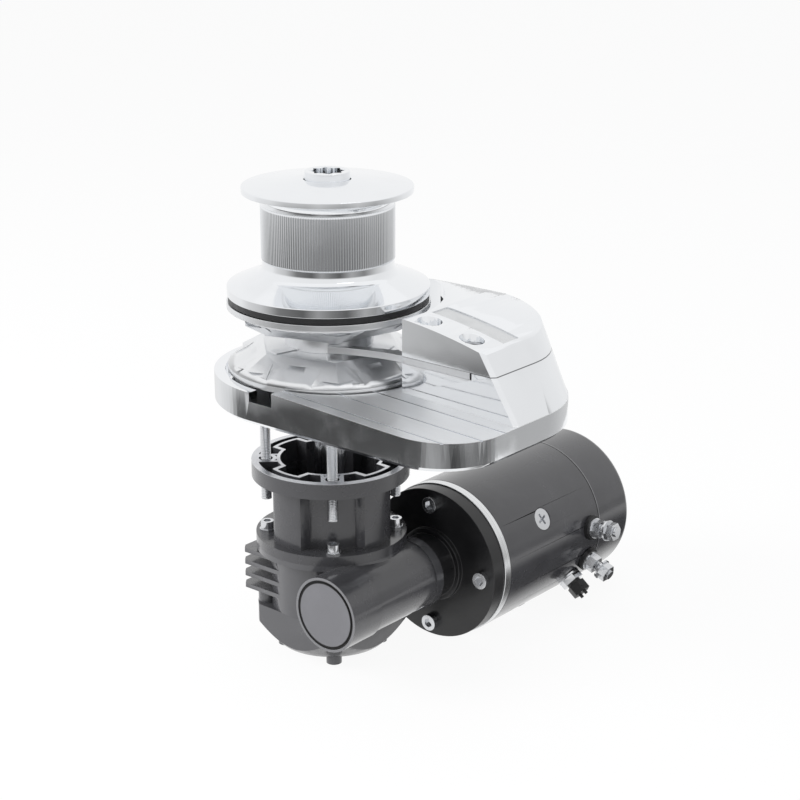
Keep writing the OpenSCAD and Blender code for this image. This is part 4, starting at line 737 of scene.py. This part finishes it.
def tent(floor_z):
    """A round sheet about the part whose grey changes slowly with angle and height, dark at the
    floor in front and white above, and a dark cloth on the floor beside the motor."""
    around = np.linspace(-180, 180, 180, endpoint=False)
    angle, height = np.meshgrid(around, np.linspace(floor_z, TENT_TOP, 48))
    angles, *rows = zip(*TENT_LEVELS)
    low, middle, high = (np.interp(angle, angles, row) for row in rows)
    level = low + (middle - low) * smooth(height, -0.155, -0.12)
    level = level + (high - level) * smooth(height, -0.03, 0.12)
    turn = np.radians(angle)
    x, y = TENT_CENTRE[0] + TENT_R * np.cos(turn), TENT_CENTRE[1] + TENT_R * np.sin(turn)
    grid = np.stack([x, y, height], -1)
    sheet("tent", grid, level, True)
    across, along = np.meshgrid(np.linspace(0.1, 0.3, 21), np.linspace(0.05, 0.5, 41))
    edge = smooth(across, 0.1, 0.13) * smooth(-across, -0.3, -0.2)
    edge = edge * smooth(along, 0.05, 0.15) * smooth(-along, -0.5, -0.35)
    cloth = np.stack([across, along, 0 * across + floor_z + 0.0005], -1)
    sheet("cloth", cloth, 0.9 - 0.82 * edge, False)


def lamp(name, place, target, size, power, mirrored):
    """A soft box; mirrored says whether glossy faces show it, or only the tent in front of it."""
    data = bpy.data.lights.new(name, "AREA")
    data.shape = "RECTANGLE"
    data.size, data.size_y = size
    data.energy = power
    made = bpy.data.objects.new(name, data)
    scene.collection.objects.link(made)
    made.visible_glossy = mirrored
    aim(made, place, target)


def aim(item, place, target):
    """Puts an item at place with its -Z towards target and its Y upwards."""
    item.location = place
    item.rotation_euler = (Vector(target) - Vector(place)).to_track_quat("-Z", "Y").to_euler()


def studio():
    """Floor, world, lamps and tent."""
    floor_z = cad_box[0][2] - 0.0004
    plane("floor", (0.04, 0.03, floor_z), (6, 0, 0), (0, 6, 0), floor_material())
    world = bpy.data.worlds.new("studio")
    scene.world = world
    world.use_nodes = True
    tree = world.node_tree
    tree.nodes.clear()
    white, soft = tree.nodes.new("ShaderNodeBackground"), tree.nodes.new("ShaderNodeBackground")
    white.inputs["Strength"].default_value = 1.0
    white.inputs["Color"].default_value = (1, 1, 1, 1)
    soft.inputs["Color"].default_value = (0.97, 0.98, 1, 1)
    soft.inputs["Strength"].default_value = 0.45
    mix, output = tree.nodes.new("ShaderNodeMixShader"), tree.nodes.new("ShaderNodeOutputWorld")
    tree.links.new(background_rays(tree), mix.inputs[0])
    tree.links.new(soft.outputs[0], mix.inputs[1])
    tree.links.new(white.outputs[0], mix.inputs[2])
    tree.links.new(mix.outputs[0], output.inputs["Surface"])
    middle = (0.05, 0.05, -0.02)
    lamp("key", (-1.15, -1.3, 0.7), middle, (1.1, 1.1), 42, False)
    lamp("fill", (1.7, -0.5, 0.9), middle, (0.9, 1.2), 7, True)
    lamp("top", (0.1, 0.2, 1.9), middle, (1.3, 1.3), 12, False)
    tent(floor_z)
    scene.view_settings.view_transform = "Standard"


# View of the photograph, as fitted to its outline
LENS, AZIMUTH, ELEVATION, DISTANCE = 85.938, 39.62, 18.42, 1.43683
TARGET = np.array([0.04056, 0.03357, -0.00329])


def camera():
    """The camera looks at TARGET from DISTANCE metres away."""
    data = bpy.data.cameras.new("camera")
    data.lens = LENS
    data.sensor_width = 36
    data.clip_start, data.clip_end = 0.05, 50
    made = bpy.data.objects.new("camera", data)
    scene.collection.objects.link(made)
    turn, tilt = math.radians(AZIMUTH), math.radians(ELEVATION)
    level = math.cos(tilt)
    back = np.array([math.sin(turn) * level, -math.cos(turn) * level, math.sin(tilt)])
    aim(made, tuple(TARGET + DISTANCE * back), tuple(TARGET))
    scene.camera = made


drum_pieces()
skins()
stud_pieces()
terminal_pieces()
studio()
camera()
